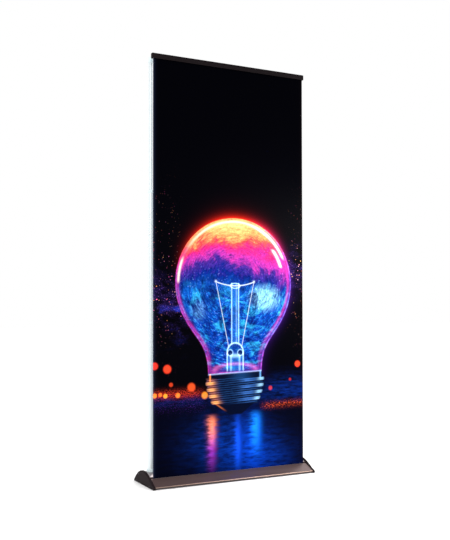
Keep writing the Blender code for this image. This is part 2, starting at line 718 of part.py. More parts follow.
def build_head(side, sign):
    """Cap on the pole's top, with an arm that hooks into the back of the rail."""
    place = (sign * POLE_X, POLE_Y, 0)
    bore = UPPER_RADIUS + CLEAR
    profile = [(0, HEAD_TOP)]
    rim = arc((HEAD_RADIUS - HEAD_ROUND, HEAD_TOP - HEAD_ROUND), HEAD_ROUND, 90, 0, 4)
    profile += rim
    profile += [(HEAD_RADIUS, HEAD_BOTTOM), (0, HEAD_BOTTOM)]
    head = turned("pole_head_" + side, profile, place, PALE_PLASTIC, closed=False)
    arm_high = RAIL_BOTTOM + CHANNEL_HIGH - CLEAR
    arm_low = arm_high - HOOK_THICKNESS
    rail_rear = FILM_Y + RAIL_BACK
    nose_back = rail_rear - RAIL_WALL - CLEAR
    nose_front = nose_back - HOOK_NOSE
    nose_low = RAIL_BOTTOM + CHANNEL_LOW - HOOK_DROP
    arm_back = POLE_Y - HEAD_RADIUS / 2
    hook = [
        (nose_front, nose_low),
        (nose_back, nose_low),
        (nose_back, arm_low),
        (arm_back, arm_low),
        (arm_back, arm_high),
        (nose_front, arm_high),
    ]
    low, high = place[0] - HOOK_WIDTH / 2, place[0] + HOOK_WIDTH / 2
    arm = extrusion("guide_hook_" + side, [hook], low, high, None, CUTTERS)
    boolean(head, arm, "UNION")
    bored = rod(
        "cut_head_" + side, bore, 2 * HEAD_BORE, (place[0], place[1], HEAD_BOTTOM), False, None,
        CUTTERS, 32,
    )
    boolean(head, bored, "DIFFERENCE")
    ring_top = HEAD_BOTTOM - CLEAR
    tube(
        "head_ring_" + side, HEAD_RADIUS - RING_INSET, bore, ring_top - RING_HEIGHT, ring_top, place,
        SILVER,
    )


# ---- top rail -----------------------------------------------------------------------
def build_rail_body():
    """Back half of the rail: a channel open to the rear, and the hinge seat in front."""
    film_back = FILM_Y + FILM_THICKNESS / 2
    web = film_back + CLEAR + CLEAR / 2
    rear = FILM_Y + RAIL_BACK
    front = FILM_Y - RAIL_FRONT
    low, high = RAIL_BOTTOM, RAIL_TOP
    seat_radius = HINGE_RADIUS + CLEAR
    seat = arc((HINGE_Y, HINGE_Z), seat_radius, 130, -30, 8)
    outline = [
        (web, low),
        (rear, low),
        (rear, low + CHANNEL_LOW),
        (rear - RAIL_WALL, low + CHANNEL_LOW),
        (rear - RAIL_WALL, low + RAIL_WALL),
        (web + RAIL_WALL, low + RAIL_WALL),
        (web + RAIL_WALL, high - RAIL_WALL),
        (rear - RAIL_WALL, high - RAIL_WALL),
        (rear - RAIL_WALL, low + CHANNEL_HIGH),
        (rear, low + CHANNEL_HIGH),
        (rear, high),
        (front, high),
        (front, HINGE_Z + seat_radius + CLEAR / 3),
    ]
    outline += seat
    outline += [(web, seat[-1][1] - RAIL_WALL / 2)]
    extrusion("rail_body", [outline], -RAIL_CUT, RAIL_CUT, DARK_BRONZE)


def build_rail_jaw():
    """Front half of the rail: a flap that turns on its top bead and grips the film."""
    front = -HINGE_RADIUS
    plate_back = front + RAIL_WALL
    tip = FILM_Y - FILM_THICKNESS / 2 - CLEAR - HINGE_Y
    low = RAIL_BOTTOM + CLEAR - HINGE_Z
    groove = low + (RAIL_HEIGHT - HINGE_DROP) * GROOVE_PLACE
    start = atan2(-HINGE_RADIUS, plate_back) * 180 / pi
    bead = arc((0, 0), HINGE_RADIUS, start, 180, 10)
    outline = [
        (front, low),
        (tip, low),
        (tip, low + JAW_LIP),
        (plate_back, low + JAW_LIP * JAW_LIP_SLOPE),
    ]
    outline += bead
    outline += [
        (front, groove + GROOVE_HEIGHT),
        (front + GROOVE_DEPTH, groove + GROOVE_HEIGHT * GROOVE_FLOOR[1]),
        (front + GROOVE_DEPTH, groove + GROOVE_HEIGHT * GROOVE_FLOOR[0]),
        (front, groove),
    ]
    half = RAIL_CUT
    jaw = extrusion("rail_jaw", [outline], -half, half, DARK_BRONZE)
    jaw.location = (0, HINGE_Y, HINGE_Z)


def build_rail_cap(side, sign):
    outline = rounded_rectangle(
        FILM_Y - RAIL_FRONT, FILM_Y + RAIL_BACK, RAIL_BOTTOM, RAIL_TOP, RAIL_CORNER
    )
    reach = sorted((sign * (RAIL_HALF - RAIL_CAP), sign * RAIL_HALF))
    extrusion("rail_cap_" + side, [outline], *reach, CAP_PLASTIC)


# ---- the stand ----------------------------------------------------------------------
def build():
    build_housing()
    build_front_cover()
    build_feet()
    build_slot_trim()
    build_roller()
    build_roller_supports()
    build_torsion_spring()
    build_film()
    build_rail_body()
    build_rail_jaw()
    for side, sign in SIDES.items():
        build_end_cap(side, sign)
        build_cap_screws(side, sign)
        build_foot(side, sign)
        build_pole(side, sign)
        build_head(side, sign)
        build_rail_cap(side, sign)


build()
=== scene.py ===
"""Looks of a roll-up banner stand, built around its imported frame.

Metres, +Z up. X runs along the base, the front faces -Y, and the floor is at 0.
"""

from math import acos, asin, atan2, cos, hypot, pi, radians, sin

import bmesh
import bpy
from mathutils import Matrix, Vector


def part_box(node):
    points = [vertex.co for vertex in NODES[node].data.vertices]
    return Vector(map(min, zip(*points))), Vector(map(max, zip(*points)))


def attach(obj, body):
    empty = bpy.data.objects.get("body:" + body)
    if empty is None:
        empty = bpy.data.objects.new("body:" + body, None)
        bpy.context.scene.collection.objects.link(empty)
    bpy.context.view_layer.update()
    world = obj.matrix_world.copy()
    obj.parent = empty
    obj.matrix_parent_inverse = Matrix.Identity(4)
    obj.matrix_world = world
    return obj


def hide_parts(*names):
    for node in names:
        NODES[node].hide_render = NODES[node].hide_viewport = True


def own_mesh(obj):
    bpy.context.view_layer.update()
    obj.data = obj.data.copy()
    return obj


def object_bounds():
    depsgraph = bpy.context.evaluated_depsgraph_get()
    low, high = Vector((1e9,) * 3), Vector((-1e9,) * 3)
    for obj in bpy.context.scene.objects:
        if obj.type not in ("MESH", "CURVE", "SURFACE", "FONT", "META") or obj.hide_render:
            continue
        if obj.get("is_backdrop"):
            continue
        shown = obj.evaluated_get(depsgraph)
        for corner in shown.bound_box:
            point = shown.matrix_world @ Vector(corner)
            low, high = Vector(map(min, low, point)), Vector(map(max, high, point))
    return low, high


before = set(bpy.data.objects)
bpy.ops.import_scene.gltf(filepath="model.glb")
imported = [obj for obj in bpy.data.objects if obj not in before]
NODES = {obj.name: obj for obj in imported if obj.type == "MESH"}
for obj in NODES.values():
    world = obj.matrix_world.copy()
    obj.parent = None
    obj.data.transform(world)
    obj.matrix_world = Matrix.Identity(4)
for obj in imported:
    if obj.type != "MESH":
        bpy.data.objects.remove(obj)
FRAME_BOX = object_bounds()

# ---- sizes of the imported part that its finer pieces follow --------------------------
CLEAR = 0.0003
FINE_EDGE = 0.0003
MERGE_DISTANCE = 0.00005
SIDES = {"left": -1, "right": 1}
SHARP_ANGLE = radians(32)

FILM_HALF = 0.425
FILM_Y = -0.057
FILM_THICKNESS = 0.0005
SLOT_Z = 0.0413
FILM_TOP = 2.0733
FILM_HEIGHT = FILM_TOP - SLOT_Z

RAIL_BOTTOM = 2.0613
RAIL_BACK = FILM_Y + 0.012
RAIL_FRONT = FILM_Y - 0.006
RAIL_WALL = 0.0022
RAIL_HEIGHT = 0.025
LOWER_LIP = 0.008
SLOT_FOOT = 0.012  # lower and upper edge of the rail's back slot, above its bottom
SLOT_HEAD = 0.018
HINGE_Y = -0.0612
HINGE_Z = 2.0819
HINGE_RADIUS = 0.0018

BASE_HALF = 0.452
CAP_INNER = 0.440
HOUSING_HALF = 0.4457
BASE_FRONT = 0.148
BASE_BACK = 0.112
RIDGE_Y = 0.018
BASE_HEIGHT = 0.068
FULLNESS = 0.85
CAP_PROUD = 0.005
CAP_BOTTOM = 0.001
CAP_EDGE = 0.0025
NOSE_RADIUS = 0.0072
NOSE_BLEND = 0.020
WALL = 0.002
FLOOR_BOTTOM = 0.0028
FLOOR_TOP = FLOOR_BOTTOM + WALL
PLINTH_HEIGHT = 0.0085
PLINTH_Y = -0.1245
BEAD_Y = -0.1228
BEAD_Z = 0.0112
BEAD_RADIUS = 0.0026
SLOT_FRONT = -0.059975
SLOT_REAR = -0.051475
SLOT_LEG = 0.007

POLE_X = 0.410
POLE_Y = 0.012
SOCKET_BORE = 0.0153
SOCKET_RADIUS = 0.0163
COLLAR_RADIUS = 0.0188
COLLAR_RISE = 0.0115  # how far a collar stands above the dome at its middle
COLLAR_DEPTH = 0.0155
COLLAR_EDGE = 0.0016
LOCK_RISE = 0.014  # how far a twist lock stands above its seat on the tube
LOCK_EDGE = 0.0022
TUBE_WALL = 0.0012
HEAD_RADIUS = 0.0115
HEAD_BORE = 0.0101
HEAD_BORE_DEPTH = 0.018
HEAD_EDGE = 0.004
ARM_HALF = 0.006
ROLLER_Y = -0.04245
ROLLER_Z = 0.0234


# ---- values that vary over a surface ------------------------------------------------
class Field:
    """A value in the node tree being built, so that finishes and rules read as plain sums."""

    tree = None

    def __init__(self, socket):
        self.socket = socket

    def math(self, operation, *others):
        node = Field.tree.nodes.new("ShaderNodeMath")
        node.operation = operation
        for socket, value in zip(node.inputs, (self, *others)):
            feed(socket, value)
        return Field(node.outputs[0])

    def __add__(self, other):
        return self.math("ADD", other)

    def __sub__(self, other):
        return self.math("SUBTRACT", other)

    def __rsub__(self, other):
        return self * -1.0 + other

    def __mul__(self, other):
        return self.math("MULTIPLY", other)

    def __truediv__(self, other):
        return self.math("DIVIDE", other)

    def __abs__(self):
        return self.math("ABSOLUTE")

    def __pow__(self, other):
        return self.math("POWER", other)

    def sin(self):
        return self.math("SINE")

    def cos(self):
        return self.math("COSINE")

    def larger(self, other):
        return self.math("MAXIMUM", other)

    def smaller(self, other):
        return self.math("MINIMUM", other)

    def rise(self, low, high):
        """0 up to low, 1 from high on, and smooth between; low may be above high."""
        node = Field.tree.nodes.new("ShaderNodeMapRange")
        node.interpolation_type = "SMOOTHSTEP"
        start, stop = (low, high) if low < high else (high, low)
        feed(node.inputs["Value"], self)
        node.inputs["From Min"].default_value = start
        node.inputs["From Max"].default_value = stop
        node.inputs["To Min"].default_value = float(low > high)
        node.inputs["To Max"].default_value = float(low < high)
        return Field(node.outputs["Result"])

    def bell(self, middle, width):
        """1 at the middle, and fading evenly to both sides."""
        return ((self - middle) * (self - middle) * (-1 / width**2)).math("EXPONENT")

    def fade(self, width):
        """1 up to 0, and then dying away."""
        return (self.larger(0.0) * (-1 / width)).math("EXPONENT")


def feed(socket, value):
    if isinstance(value, Field):
        Field.tree.links.new(value.socket, socket)
    else:
        socket.default_value = value


def length(x, y):
    return (x * x + y * y).math("SQRT")


def shade(red, green, blue):
    """A display colour as the linear colour that a shader takes."""
    return (red**2.2, green**2.2, blue**2.2, 1.0)


def place(x, y, z=0.0):
    """Three numbers as one place, also for a brightness in all three colours."""
    node = Field.tree.nodes.new("ShaderNodeCombineXYZ")
    for socket, value in zip(node.inputs, (x, y, z)):
        feed(socket, value)
    return Field(node.outputs[0])


def noise(where, scale, detail=3.0, rough=0.5, warp=0.0):
    node = Field.tree.nodes.new("ShaderNodeTexNoise")
    feed(node.inputs["Vector"], where)
    node.inputs["Scale"].default_value = scale
    node.inputs["Detail"].default_value = detail
    node.inputs["Roughness"].default_value = rough
    node.inputs["Distortion"].default_value = warp
    return Field(node.outputs[0])


def mix(under, over, share, blend="MIX"):
    """Two colours mixed. The node has one set of sockets for each kind of value."""
    node = Field.tree.nodes.new("ShaderNodeMix")
    node.data_type = "RGBA"
    node.blend_type = blend
    feed(node.inputs["Factor"], share)
    feed(node.inputs[6], under)
    feed(node.inputs[7], over)
    return Field(node.outputs[2])


def ramp(value, stops):
    node = Field.tree.nodes.new("ShaderNodeValToRGB")
    feed(node.inputs[0], value)
    bands = node.color_ramp.elements
    while len(bands) < len(stops):
        bands.new(0.5)
    for band, (at, colour) in zip(bands, stops):
        band.position = at
        band.color = colour
    return Field(node.outputs[0])


def own_place(scale=(1.0, 1.0, 1.0)):
    """The piece's own coordinates, stretched where a grain lies along one axis."""
    coords = Field.tree.nodes.new("ShaderNodeTexCoord")
    mapping = Field.tree.nodes.new("ShaderNodeMapping")
    mapping.inputs["Scale"].default_value = scale
    Field.tree.links.new(coords.outputs["Object"], mapping.inputs["Vector"])
    return Field(mapping.outputs[0])


def new_finish(name, **uniform):
    """A material whose uniform numbers sit on the shader's own sockets."""
    material = bpy.data.materials.new(name)
    material.use_nodes = True
    Field.tree = material.node_tree
    shader = material.node_tree.nodes["Principled BSDF"]
    for socket, value in uniform.items():
        shader.inputs[socket.replace("_", " ")].default_value = value
    return material, shader


def bump(shader, height, strength, distance):
    node = Field.tree.nodes.new("ShaderNodeBump")
    node.inputs["Strength"].default_value = strength
    node.inputs["Distance"].default_value = distance
    feed(node.inputs["Height"], height)
    Field.tree.links.new(node.outputs[0], shader.inputs["Normal"])


# ---- finishes -----------------------------------------------------------------------
def brushed_metal(name, dark, light, grain, roughness, spread, metal=1.0):
    """Anodised or mill metal with fine lines along the axis that grain stretches."""
    material, shader = new_finish(name, Metallic=metal, Anisotropic=0.4)
    lines = noise(own_place(grain), 1.0, 4.0, 0.6)
    clouds = noise(own_place((3.0, 9.0, 9.0)), 1.0, 3.0, 0.5)
    feed(shader.inputs["Base Color"], mix(dark, light, lines * 0.55 + clouds * 0.45))
    feed(shader.inputs["Roughness"], lines * spread + (roughness - spread / 2))
    bump(shader, lines, 0.12, 0.0001)
    return material


def moulded_plastic(name, dark, light, roughness, gleam=0.5):
    """Moulded plastic with a fine spark-eroded grain and faint flow clouds."""
    material, shader = new_finish(name, Specular_IOR_Level=gleam)
    speck = noise(own_place(), 900.0, 2.0, 0.6)
    flow = noise(own_place(), 34.0, 3.0, 0.5, 0.4)
    feed(shader.inputs["Base Color"], mix(dark, light, flow * 0.6 + speck * 0.4))
    feed(shader.inputs["Roughness"], speck * 0.12 + flow * 0.08 + (roughness - 0.10))
    bump(shader, speck, 0.18, 0.0002)
    return material


def film_back():
    """Grey light-stop coating on the back of the film, with a fine matt weave."""
    material, shader = new_finish("film_back", Specular_IOR_Level=0.2)
    weave = noise(own_place((1500.0, 1500.0, 1500.0)), 1.0, 2.0, 0.6)
    clouds = noise(own_place((2.2, 2.2, 1.1)), 1.0, 3.0, 0.5)
    grey = mix(shade(0.60, 0.61, 0.63), shade(0.70, 0.71, 0.72), clouds)
    feed(shader.inputs["Base Color"], mix(grey, shade(0.52, 0.53, 0.55), weave * 0.35))
    feed(shader.inputs["Roughness"], weave * 0.14 + 0.48)
    bump(shader, weave, 0.15, 0.0001)
    return material


def foot_rubber():
    material, shader = new_finish("foot_rubber", Specular_IOR_Level=0.3)
    crumb = noise(own_place(), 1400.0, 3.0, 0.7)
    scuff = noise(own_place(), 120.0, 4.0, 0.6)
    feed(shader.inputs["Base Color"], mix(shade(0.10, 0.10, 0.10), shade(0.20, 0.20, 0.19), scuff))
    feed(shader.inputs["Roughness"], crumb * 0.15 + 0.75)
    bump(shader, crumb, 0.4, 0.0002)
    return material


def brush_pile():
    material, shader = new_finish("brush_pile", Specular_IOR_Level=0.2)
    tuft = noise(own_place((1600.0, 1600.0, 120.0)), 1.0, 2.0, 0.6)
    feed(shader.inputs["Base Color"], mix(shade(0.07, 0.07, 0.08), shade(0.22, 0.22, 0.24), tuft))
    feed(shader.inputs["Roughness"], tuft * 0.1 + 0.82)
    return material


# ---- the print on the film: a plain glowing bulb of this library's own drawing --------
# Places on the print are in radii of the bulb's globe, from the globe's centre.
GLOBE_X = 0.022  # the globe's centre and radius on the film, in metres
GLOBE_Z = 0.979
GLOBE_RADIUS = 0.33
NECK_HALF = 0.46
NECK_END = -1.36
THREAD_TOP = -1.44
THREAD_PITCH = 0.0975
THREADS = 4
FLOOR_LINE = -1.93

LIGHT_SPOTS = [  # x, y, radius, warmth, strength of the soft lights far behind
    (-1.33, -1.22, 0.050, 0.0, 0.9), (-1.13, -1.27, 0.058, 0.1, 1.0),
    (-0.74, -1.55, 0.060, 0.3, 0.7), (-0.52, -1.68, 0.050, 0.8, 0.8),
    (-0.96, -1.66, 0.036, 0.6, 1.0), (-1.07, -1.50, 0.030, 0.2, 0.5),
    (-1.33, -1.65, 0.034, 0.7, 1.0), (-1.24, -1.64, 0.028, 0.5, 1.0),
    (-1.16, -1.66, 0.032, 0.9, 1.0), (1.12, -1.26, 0.046, 0.1, 0.9),
    (0.62, -1.62, 0.032, 0.1, 0.4), (0.98, -1.50, 0.022, 0.0, 0.3),
]


def linear(colour):
    return colour if isinstance(colour, Field) else shade(*colour)


def over(paint, colour, share):
    """Opaque paint over what is there."""
    return mix(paint, linear(colour), share)


def glow(paint, colour, share):
    """Light added to what is there."""
    return mix(paint, linear(colour), share, "ADD")


def stroke(x, y, start, stop, width):
    """1 on the straight line between two points, fading over width."""
    run, rise = stop[0] - start[0], stop[1] - start[1]
    square = run * run + rise * rise
    along = ((x - start[0]) * run + (y - start[1]) * rise) / square
    along = along.larger(0.0).smaller(1.0)
    return length(x - start[0] - along * run, y - start[1] - along * rise).bell(0.0, width)


def paint_night(x, y):
    """Black night with drifting dust at both sides and a few far lights."""
    cloud = noise(place(x * 1.6, y * 3.0), 2.2, 6.0, 0.62, 0.3)
    speck = noise(place(x, y), 62.0, 2.0, 0.6)
    left = (y + x * 0.45 + 0.80).bell(0.0, 0.30) * x.rise(-0.70, -1.0)
    right = (y - x * 0.75 + 0.60).bell(0.0, 0.28) * x.rise(0.80, 1.05)
    dust = (left + right) * cloud.rise(0.40, 0.66)
    paint = mix(shade(0.004, 0.005, 0.045), shade(0.22, 0.15, 0.46), dust * 0.26)
    paint = over(paint, (0.10, 0.22, 0.75), left * cloud.rise(0.52, 0.74) * y.rise(-0.2, -0.5))
    paint = glow(paint, (0.62, 0.42, 0.85), dust * speck.rise(0.58, 0.72) * 0.75)
    cells = Field.tree.nodes.new("ShaderNodeTexVoronoi")
    feed(cells.inputs["Vector"], place(x, y))
    cells.inputs["Scale"].default_value = 24.0
    spark = Field(cells.outputs["Distance"]).rise(0.22, 0.08)
    kind = Field(cells.outputs["Color"])
    chance = noise(place(x * 0.9, y), 5.0, 2.0, 0.7).rise(0.42, 0.62)
    reach = left + right + (y - 0.1).bell(0.0, 0.8) * abs(x).rise(0.85, 1.1) * 0.35
    paint = glow(paint, mix(shade(1.0, 0.42, 0.48), kind, 0.35), spark * chance * reach * 1.3)
    for spot_x, spot_y, radius, warmth, strength in LIGHT_SPOTS:
        disc = length(x - spot_x, y - spot_y).rise(radius * 1.35, radius * 0.65)
        paint = glow(paint, (1.0, 0.22 + 0.42 * warmth, 0.16), disc * strength)
    return paint


def paint_floor(paint, x, y):
    """Wet dark floor with the bulb's reflections in it."""
    on_floor = y.rise(FLOOR_LINE + 0.25, FLOOR_LINE - 0.02)
    ripple = noise(place(x * 1.4, y * 6.0), 3.4, 6.0, 0.66)
    speck = noise(place(x * 3.0, y * 7.0), 13.0, 3.0, 0.7)
    haze = (y + 1.62).bell(0.0, 0.16) * x.rise(0.30, 0.80) + (y + 1.76).bell(0.0, 0.08) * 0.6
    paint = glow(paint, (0.05, 0.17, 0.48), haze * ripple.rise(0.3, 0.75) * 0.8)
    paint = over(paint, (0.015, 0.03, 0.09), on_floor * 0.85)
    wide = (x + 0.10).bell(0.0, 0.58)
    near = (y + 2.42).bell(0.0, 0.36)
    pool = on_floor * wide * near * (ripple.rise(0.32, 0.8) * 0.8 + 0.15)
    paint = glow(paint, (0.04, 0.22, 0.62), pool)
    wash = (x - 0.40).bell(0.0, 0.50) * (y + 2.72).bell(0.0, 0.30) * ripple.rise(0.20, 0.70)
    paint = glow(paint, (0.03, 0.20, 0.60), wash * on_floor * 0.9)
    paint = glow(paint, (0.10, 0.30, 0.75), on_floor * wide * speck.rise(0.60, 0.80) * 0.5)
    wobble = x + (ripple - 0.5) * 0.16
    bright = wobble.bell(0.36, 0.075) * y.rise(-1.92, -2.10) * y.rise(-2.78, -2.15)
    paint = glow(paint, (0.10, 0.50, 1.0), bright * (ripple * 1.7))
    column = (x - 0.28).bell(0.0, 0.20) * near * ripple.rise(0.2, 0.6)
    paint = glow(paint, (0.04, 0.24, 0.75), column * 0.5)
    paint = glow(paint, (0.10, 0.32, 0.92), wobble.bell(0.04, 0.05) * on_floor * near * 0.7)
    warm = wobble.bell(-0.40, 0.06) * y.rise(-1.95, -2.10) * y.rise(-2.95, -2.30)
    tint = mix(shade(0.60, 0.16, 0.62), shade(1.0, 0.50, 0.30), y.rise(-2.55, -2.15))
    paint = glow(paint, tint, warm * (ripple * 2.0))
    embers = (y + 1.905 - x * 0.03).bell(0.0, 0.045) * x.rise(0.40, 0.60)
    paint = glow(paint, (1.0, 0.36, 0.14), embers * speck.rise(0.50, 0.66) * 0.9)
    shore = (y + 1.64).bell(0.0, 0.055) * x.rise(-0.45, -0.75)
    paint = glow(paint, (0.95, 0.26, 0.16), shore * speck.rise(0.44, 0.64) * 0.8)
    low = (y + 1.80).bell(0.0, 0.10) * x.rise(-0.40, -0.60) * speck.rise(0.55, 0.70)
    paint = glow(paint, (0.45, 0.22, 0.75), low * 0.5)
    return paint


def paint_smoke(x, y, reach):
    """Coloured smoke inside the globe, from deep blue below to yellow on top."""
    angle = x.math("ARCTAN2", y + 0.25)
    arcs = noise(place(angle * 1.7, reach * 7.5), 2.6, 7.0, 0.68, 0.7)
    hairs = noise(place(angle * 1.9, reach * 13.0), 3.4, 4.0, 0.75, 0.4)
    drift = noise(place(x, y), 1.9, 3.0, 0.5, 0.8)
    cloud = noise(place(x * 1.1, y), 3.3, 6.0, 0.62, 1.2)
    grain = noise(place(x, y), 30.0, 2.0, 0.8)
    height = y + (drift - 0.5) * 0.60 + (arcs - 0.5) * 0.32 + (hairs - 0.5) * 0.16
    height = height + (cloud - 0.5) * 0.34 + (reach**3) * 0.18 - 0.10
    height = height + x.bell(0.42, 0.34) * y.bell(0.18, 0.22) * 0.20
    height = height - x.bell(-0.50, 0.30) * y.bell(0.20, 0.25) * 0.16
    smoke = ramp(
        height * 0.42 + 0.58,
        [
            (0.08, shade(0.05, 0.21, 0.60)), (0.34, shade(0.05, 0.25, 0.64)),
            (0.50, shade(0.06, 0.32, 0.70)), (0.59, shade(0.05, 0.14, 0.50)),
            (0.66, shade(0.27, 0.16, 0.54)), (0.72, shade(0.70, 0.20, 0.62)),
            (0.775, shade(0.86, 0.16, 0.46)), (0.83, shade(0.92, 0.32, 0.30)),
            (0.885, shade(0.94, 0.64, 0.38)), (0.97, shade(0.95, 0.82, 0.50)),
        ],
    )
    low = y.rise(0.10, -0.25)
    wisps = (arcs * 0.6 + hairs * 0.4).rise(0.50, 0.66) * low
    patch = length((x - 0.52) * 0.9, (y + 0.22) * 1.2).rise(0.42, 0.05)
    patch = patch + length(x + 0.62, (y + 0.40) * 0.8).rise(0.30, 0.02) * 0.5
    smoke = over(smoke, (0.18, 0.64, 0.93), wisps * 0.65)
    sweep = noise(place(angle * 1.3 + reach * 1.5, reach * 2.6), 1.9, 3.0, 0.55, 0.5).rise(0.50, 0.66)
    smoke = over(smoke, (0.20, 0.70, 0.93), sweep * low * (hairs * 0.9 + 0.25))
    bloom = (patch * (arcs + hairs * 0.8 + cloud * 0.5 - 0.45)).rise(0.12, 0.95)
    smoke = over(smoke, (0.56, 0.84, 0.94), bloom * 0.9)
    smoke = over(smoke, (0.01, 0.07, 0.34), cloud.rise(0.56, 0.36) * y.rise(0.30, -0.05) * 0.85)
    smoke = over(smoke, (0.02, 0.05, 0.28), hairs.rise(0.48, 0.30) * y.rise(0.25, -0.05) * 0.55)
    light = (arcs - 0.5) * 0.9 + (hairs - 0.5) * 2.0 + (grain - 0.5) * 1.4 + 0.92
    smoke = mix(smoke, place(light, light, light), 0.9, "MULTIPLY")
    specks = grain.rise(0.60, 0.72) * cloud.rise(0.38, 0.58) * (y.rise(0.35, 0.0) * 0.35 + 0.10)
    return glow(smoke, (0.62, 0.74, 0.88), specks)


def paint_globe(paint, x, y):
    """Glass globe and neck: halo outside, smoke inside, bright lines along the rim."""
    reach = length(x, y)
    neck = (abs(x) - NECK_HALF).larger(y * -1.0 + NECK_END).larger(y)
    edge = (reach - 1.0).math("SMOOTH_MIN", neck, 0.60)
    up = y.rise(0.05, 0.75)
    halo = edge.fade(0.036) * up * 0.68 + edge.fade(0.10) * up * 0.03
    paint = glow(paint, (1.0, 0.17, 0.10), halo * x.rise(1.10, 0.45) * x.rise(-1.30, -0.10))
    paint = glow(paint, (0.40, 0.16, 0.75), edge.fade(0.04) * x.rise(0.1, 0.8) * 0.12)
    inside = edge.rise(0.004, -0.012)
    paint = over(paint, paint_smoke(x, y, reach), inside)
    streak = noise(place(x * 3.0, y * 2.0), 5.0, 5.0, 0.7)
    wall = edge.rise(-0.11, -0.02) * inside
    cool = mix(shade(0.30, 0.12, 0.46), shade(0.95, 0.30, 0.20), up)
    paint = over(paint, cool, wall * (streak * 0.5 + up * -0.15 + 0.28))
    rim_tint = mix(shade(0.86, 0.22, 0.62), shade(0.62, 0.42, 1.0), x.rise(0.1, 0.9))
    rim_tint = mix(rim_tint, shade(1.0, 0.26, 0.24), up * x.rise(0.7, 0.1))
    paint = glow(paint, rim_tint, edge.bell(-0.010, 0.010) * streak.rise(0.30, 0.70) * 0.75)
    right = edge.bell(-0.055, 0.020) * x.rise(0.2, 0.8) * streak
    left = edge.bell(-0.040, 0.018) * x.rise(-0.2, -0.6) * streak
    paint = glow(paint, (0.85, 0.16, 0.50), right * 0.8)
    paint = glow(paint, (0.80, 0.14, 0.42), left * 0.8)
    crown = edge.bell(-0.055, 0.017) * (x + 0.15).bell(0.0, 0.75) * y.rise(0.35, 0.75)
    paint = over(paint, (1.0, 0.97, 0.84), crown.smaller(1.0))
    right = edge.bell(-0.060, 0.020) * x.rise(0.20, 0.45) * y.rise(0.36, 0.46)
    left = edge.bell(-0.048, 0.018) * x.rise(-0.5, -0.8) * y.rise(-0.03, 0.06) * y.rise(0.42, 0.30)
    paint = over(paint, (1.0, 0.94, 0.98), right)
    paint = over(paint, (1.0, 0.90, 0.84), left)
    inner = (reach - 0.855).bell(0.0, 0.022) * x.rise(0.3, 0.5)
    inner = inner * y.rise(0.24, 0.29) * y.rise(0.56, 0.50)
    return over(paint, (1.0, 0.97, 1.0), inner)


def paint_stem(paint, x, y):
    """Glass stem, its mount, and the filament on its support wires."""
    pale = (0.72, 0.90, 1.0)
    streak = noise(place(x * 9.0, y * 1.6), 5.0, 4.0, 0.7)
    span = y.rise(-0.96, -0.90) * y.rise(0.02, -0.01)
    paint = over(paint, (0.16, 0.44, 0.80), abs(x).rise(0.072, 0.058) * span * 0.35)
    paint = glow(paint, pale, (abs(x) - 0.060).bell(0.0, 0.009) * span * (streak * 0.8 + 0.25))
    paint = glow(paint, pale, (x - 0.020).bell(0.0, 0.010) * span * streak * 0.5)
    cap = length(x, (y + 0.035) * 2.1)
    paint = glow(paint, pale, (cap - 0.080).bell(0.0, 0.013) * 0.8)
    mount = y.rise(-1.04, -1.08) * y.rise(-1.36, -1.30)
    paint = over(paint, (0.10, 0.40, 0.74), abs(x).rise(0.150, 0.135) * mount * 0.45)
    paint = glow(paint, pale, (abs(x) - 0.138).bell(0.0, 0.010) * mount * (streak * 0.7 + 0.4))
    paint = glow(paint, pale, (abs(x) - 0.075).bell(0.0, 0.016) * mount * streak * 0.8)
    paint = glow(paint, pale, (y + 1.10).bell(0.0, 0.030) * abs(x).rise(0.12, 0.05) * 0.55)
    bulge = length(x, y + 1.045)
    paint = over(paint, (0.04, 0.16, 0.44), bulge.rise(0.150, 0.130) * y.rise(-1.10, -1.04) * 0.5)
    paint = glow(paint, pale, (bulge - 0.138).bell(0.0, 0.011) * y.rise(-1.12, -1.06) * 0.85)
    pinch = length(abs(x) - 0.088, y + 1.055)
    paint = over(paint, (0.02, 0.10, 0.30), pinch.rise(0.048, 0.030) * 0.85)
    paint = glow(paint, pale, (pinch - 0.047).bell(0.0, 0.008) * 0.45)
    sag = y - x * x * 0.55 + 0.035
    wire = sag.bell(0.0, 0.008) * abs(x).rise(0.345, 0.325)
    for start, stop in (((-0.33, 0.03), (-0.11, -0.98)), ((0.33, 0.03), (0.11, -0.98))):
        wire = wire.larger(stroke(x, y, start, stop, 0.0055) * 0.8)
        knot = length(x - start[0], y - start[1]).bell(0.0, 0.017)
        wire = wire.larger(knot)
    return over(paint, (0.84, 0.90, 0.98), wire * 0.85)


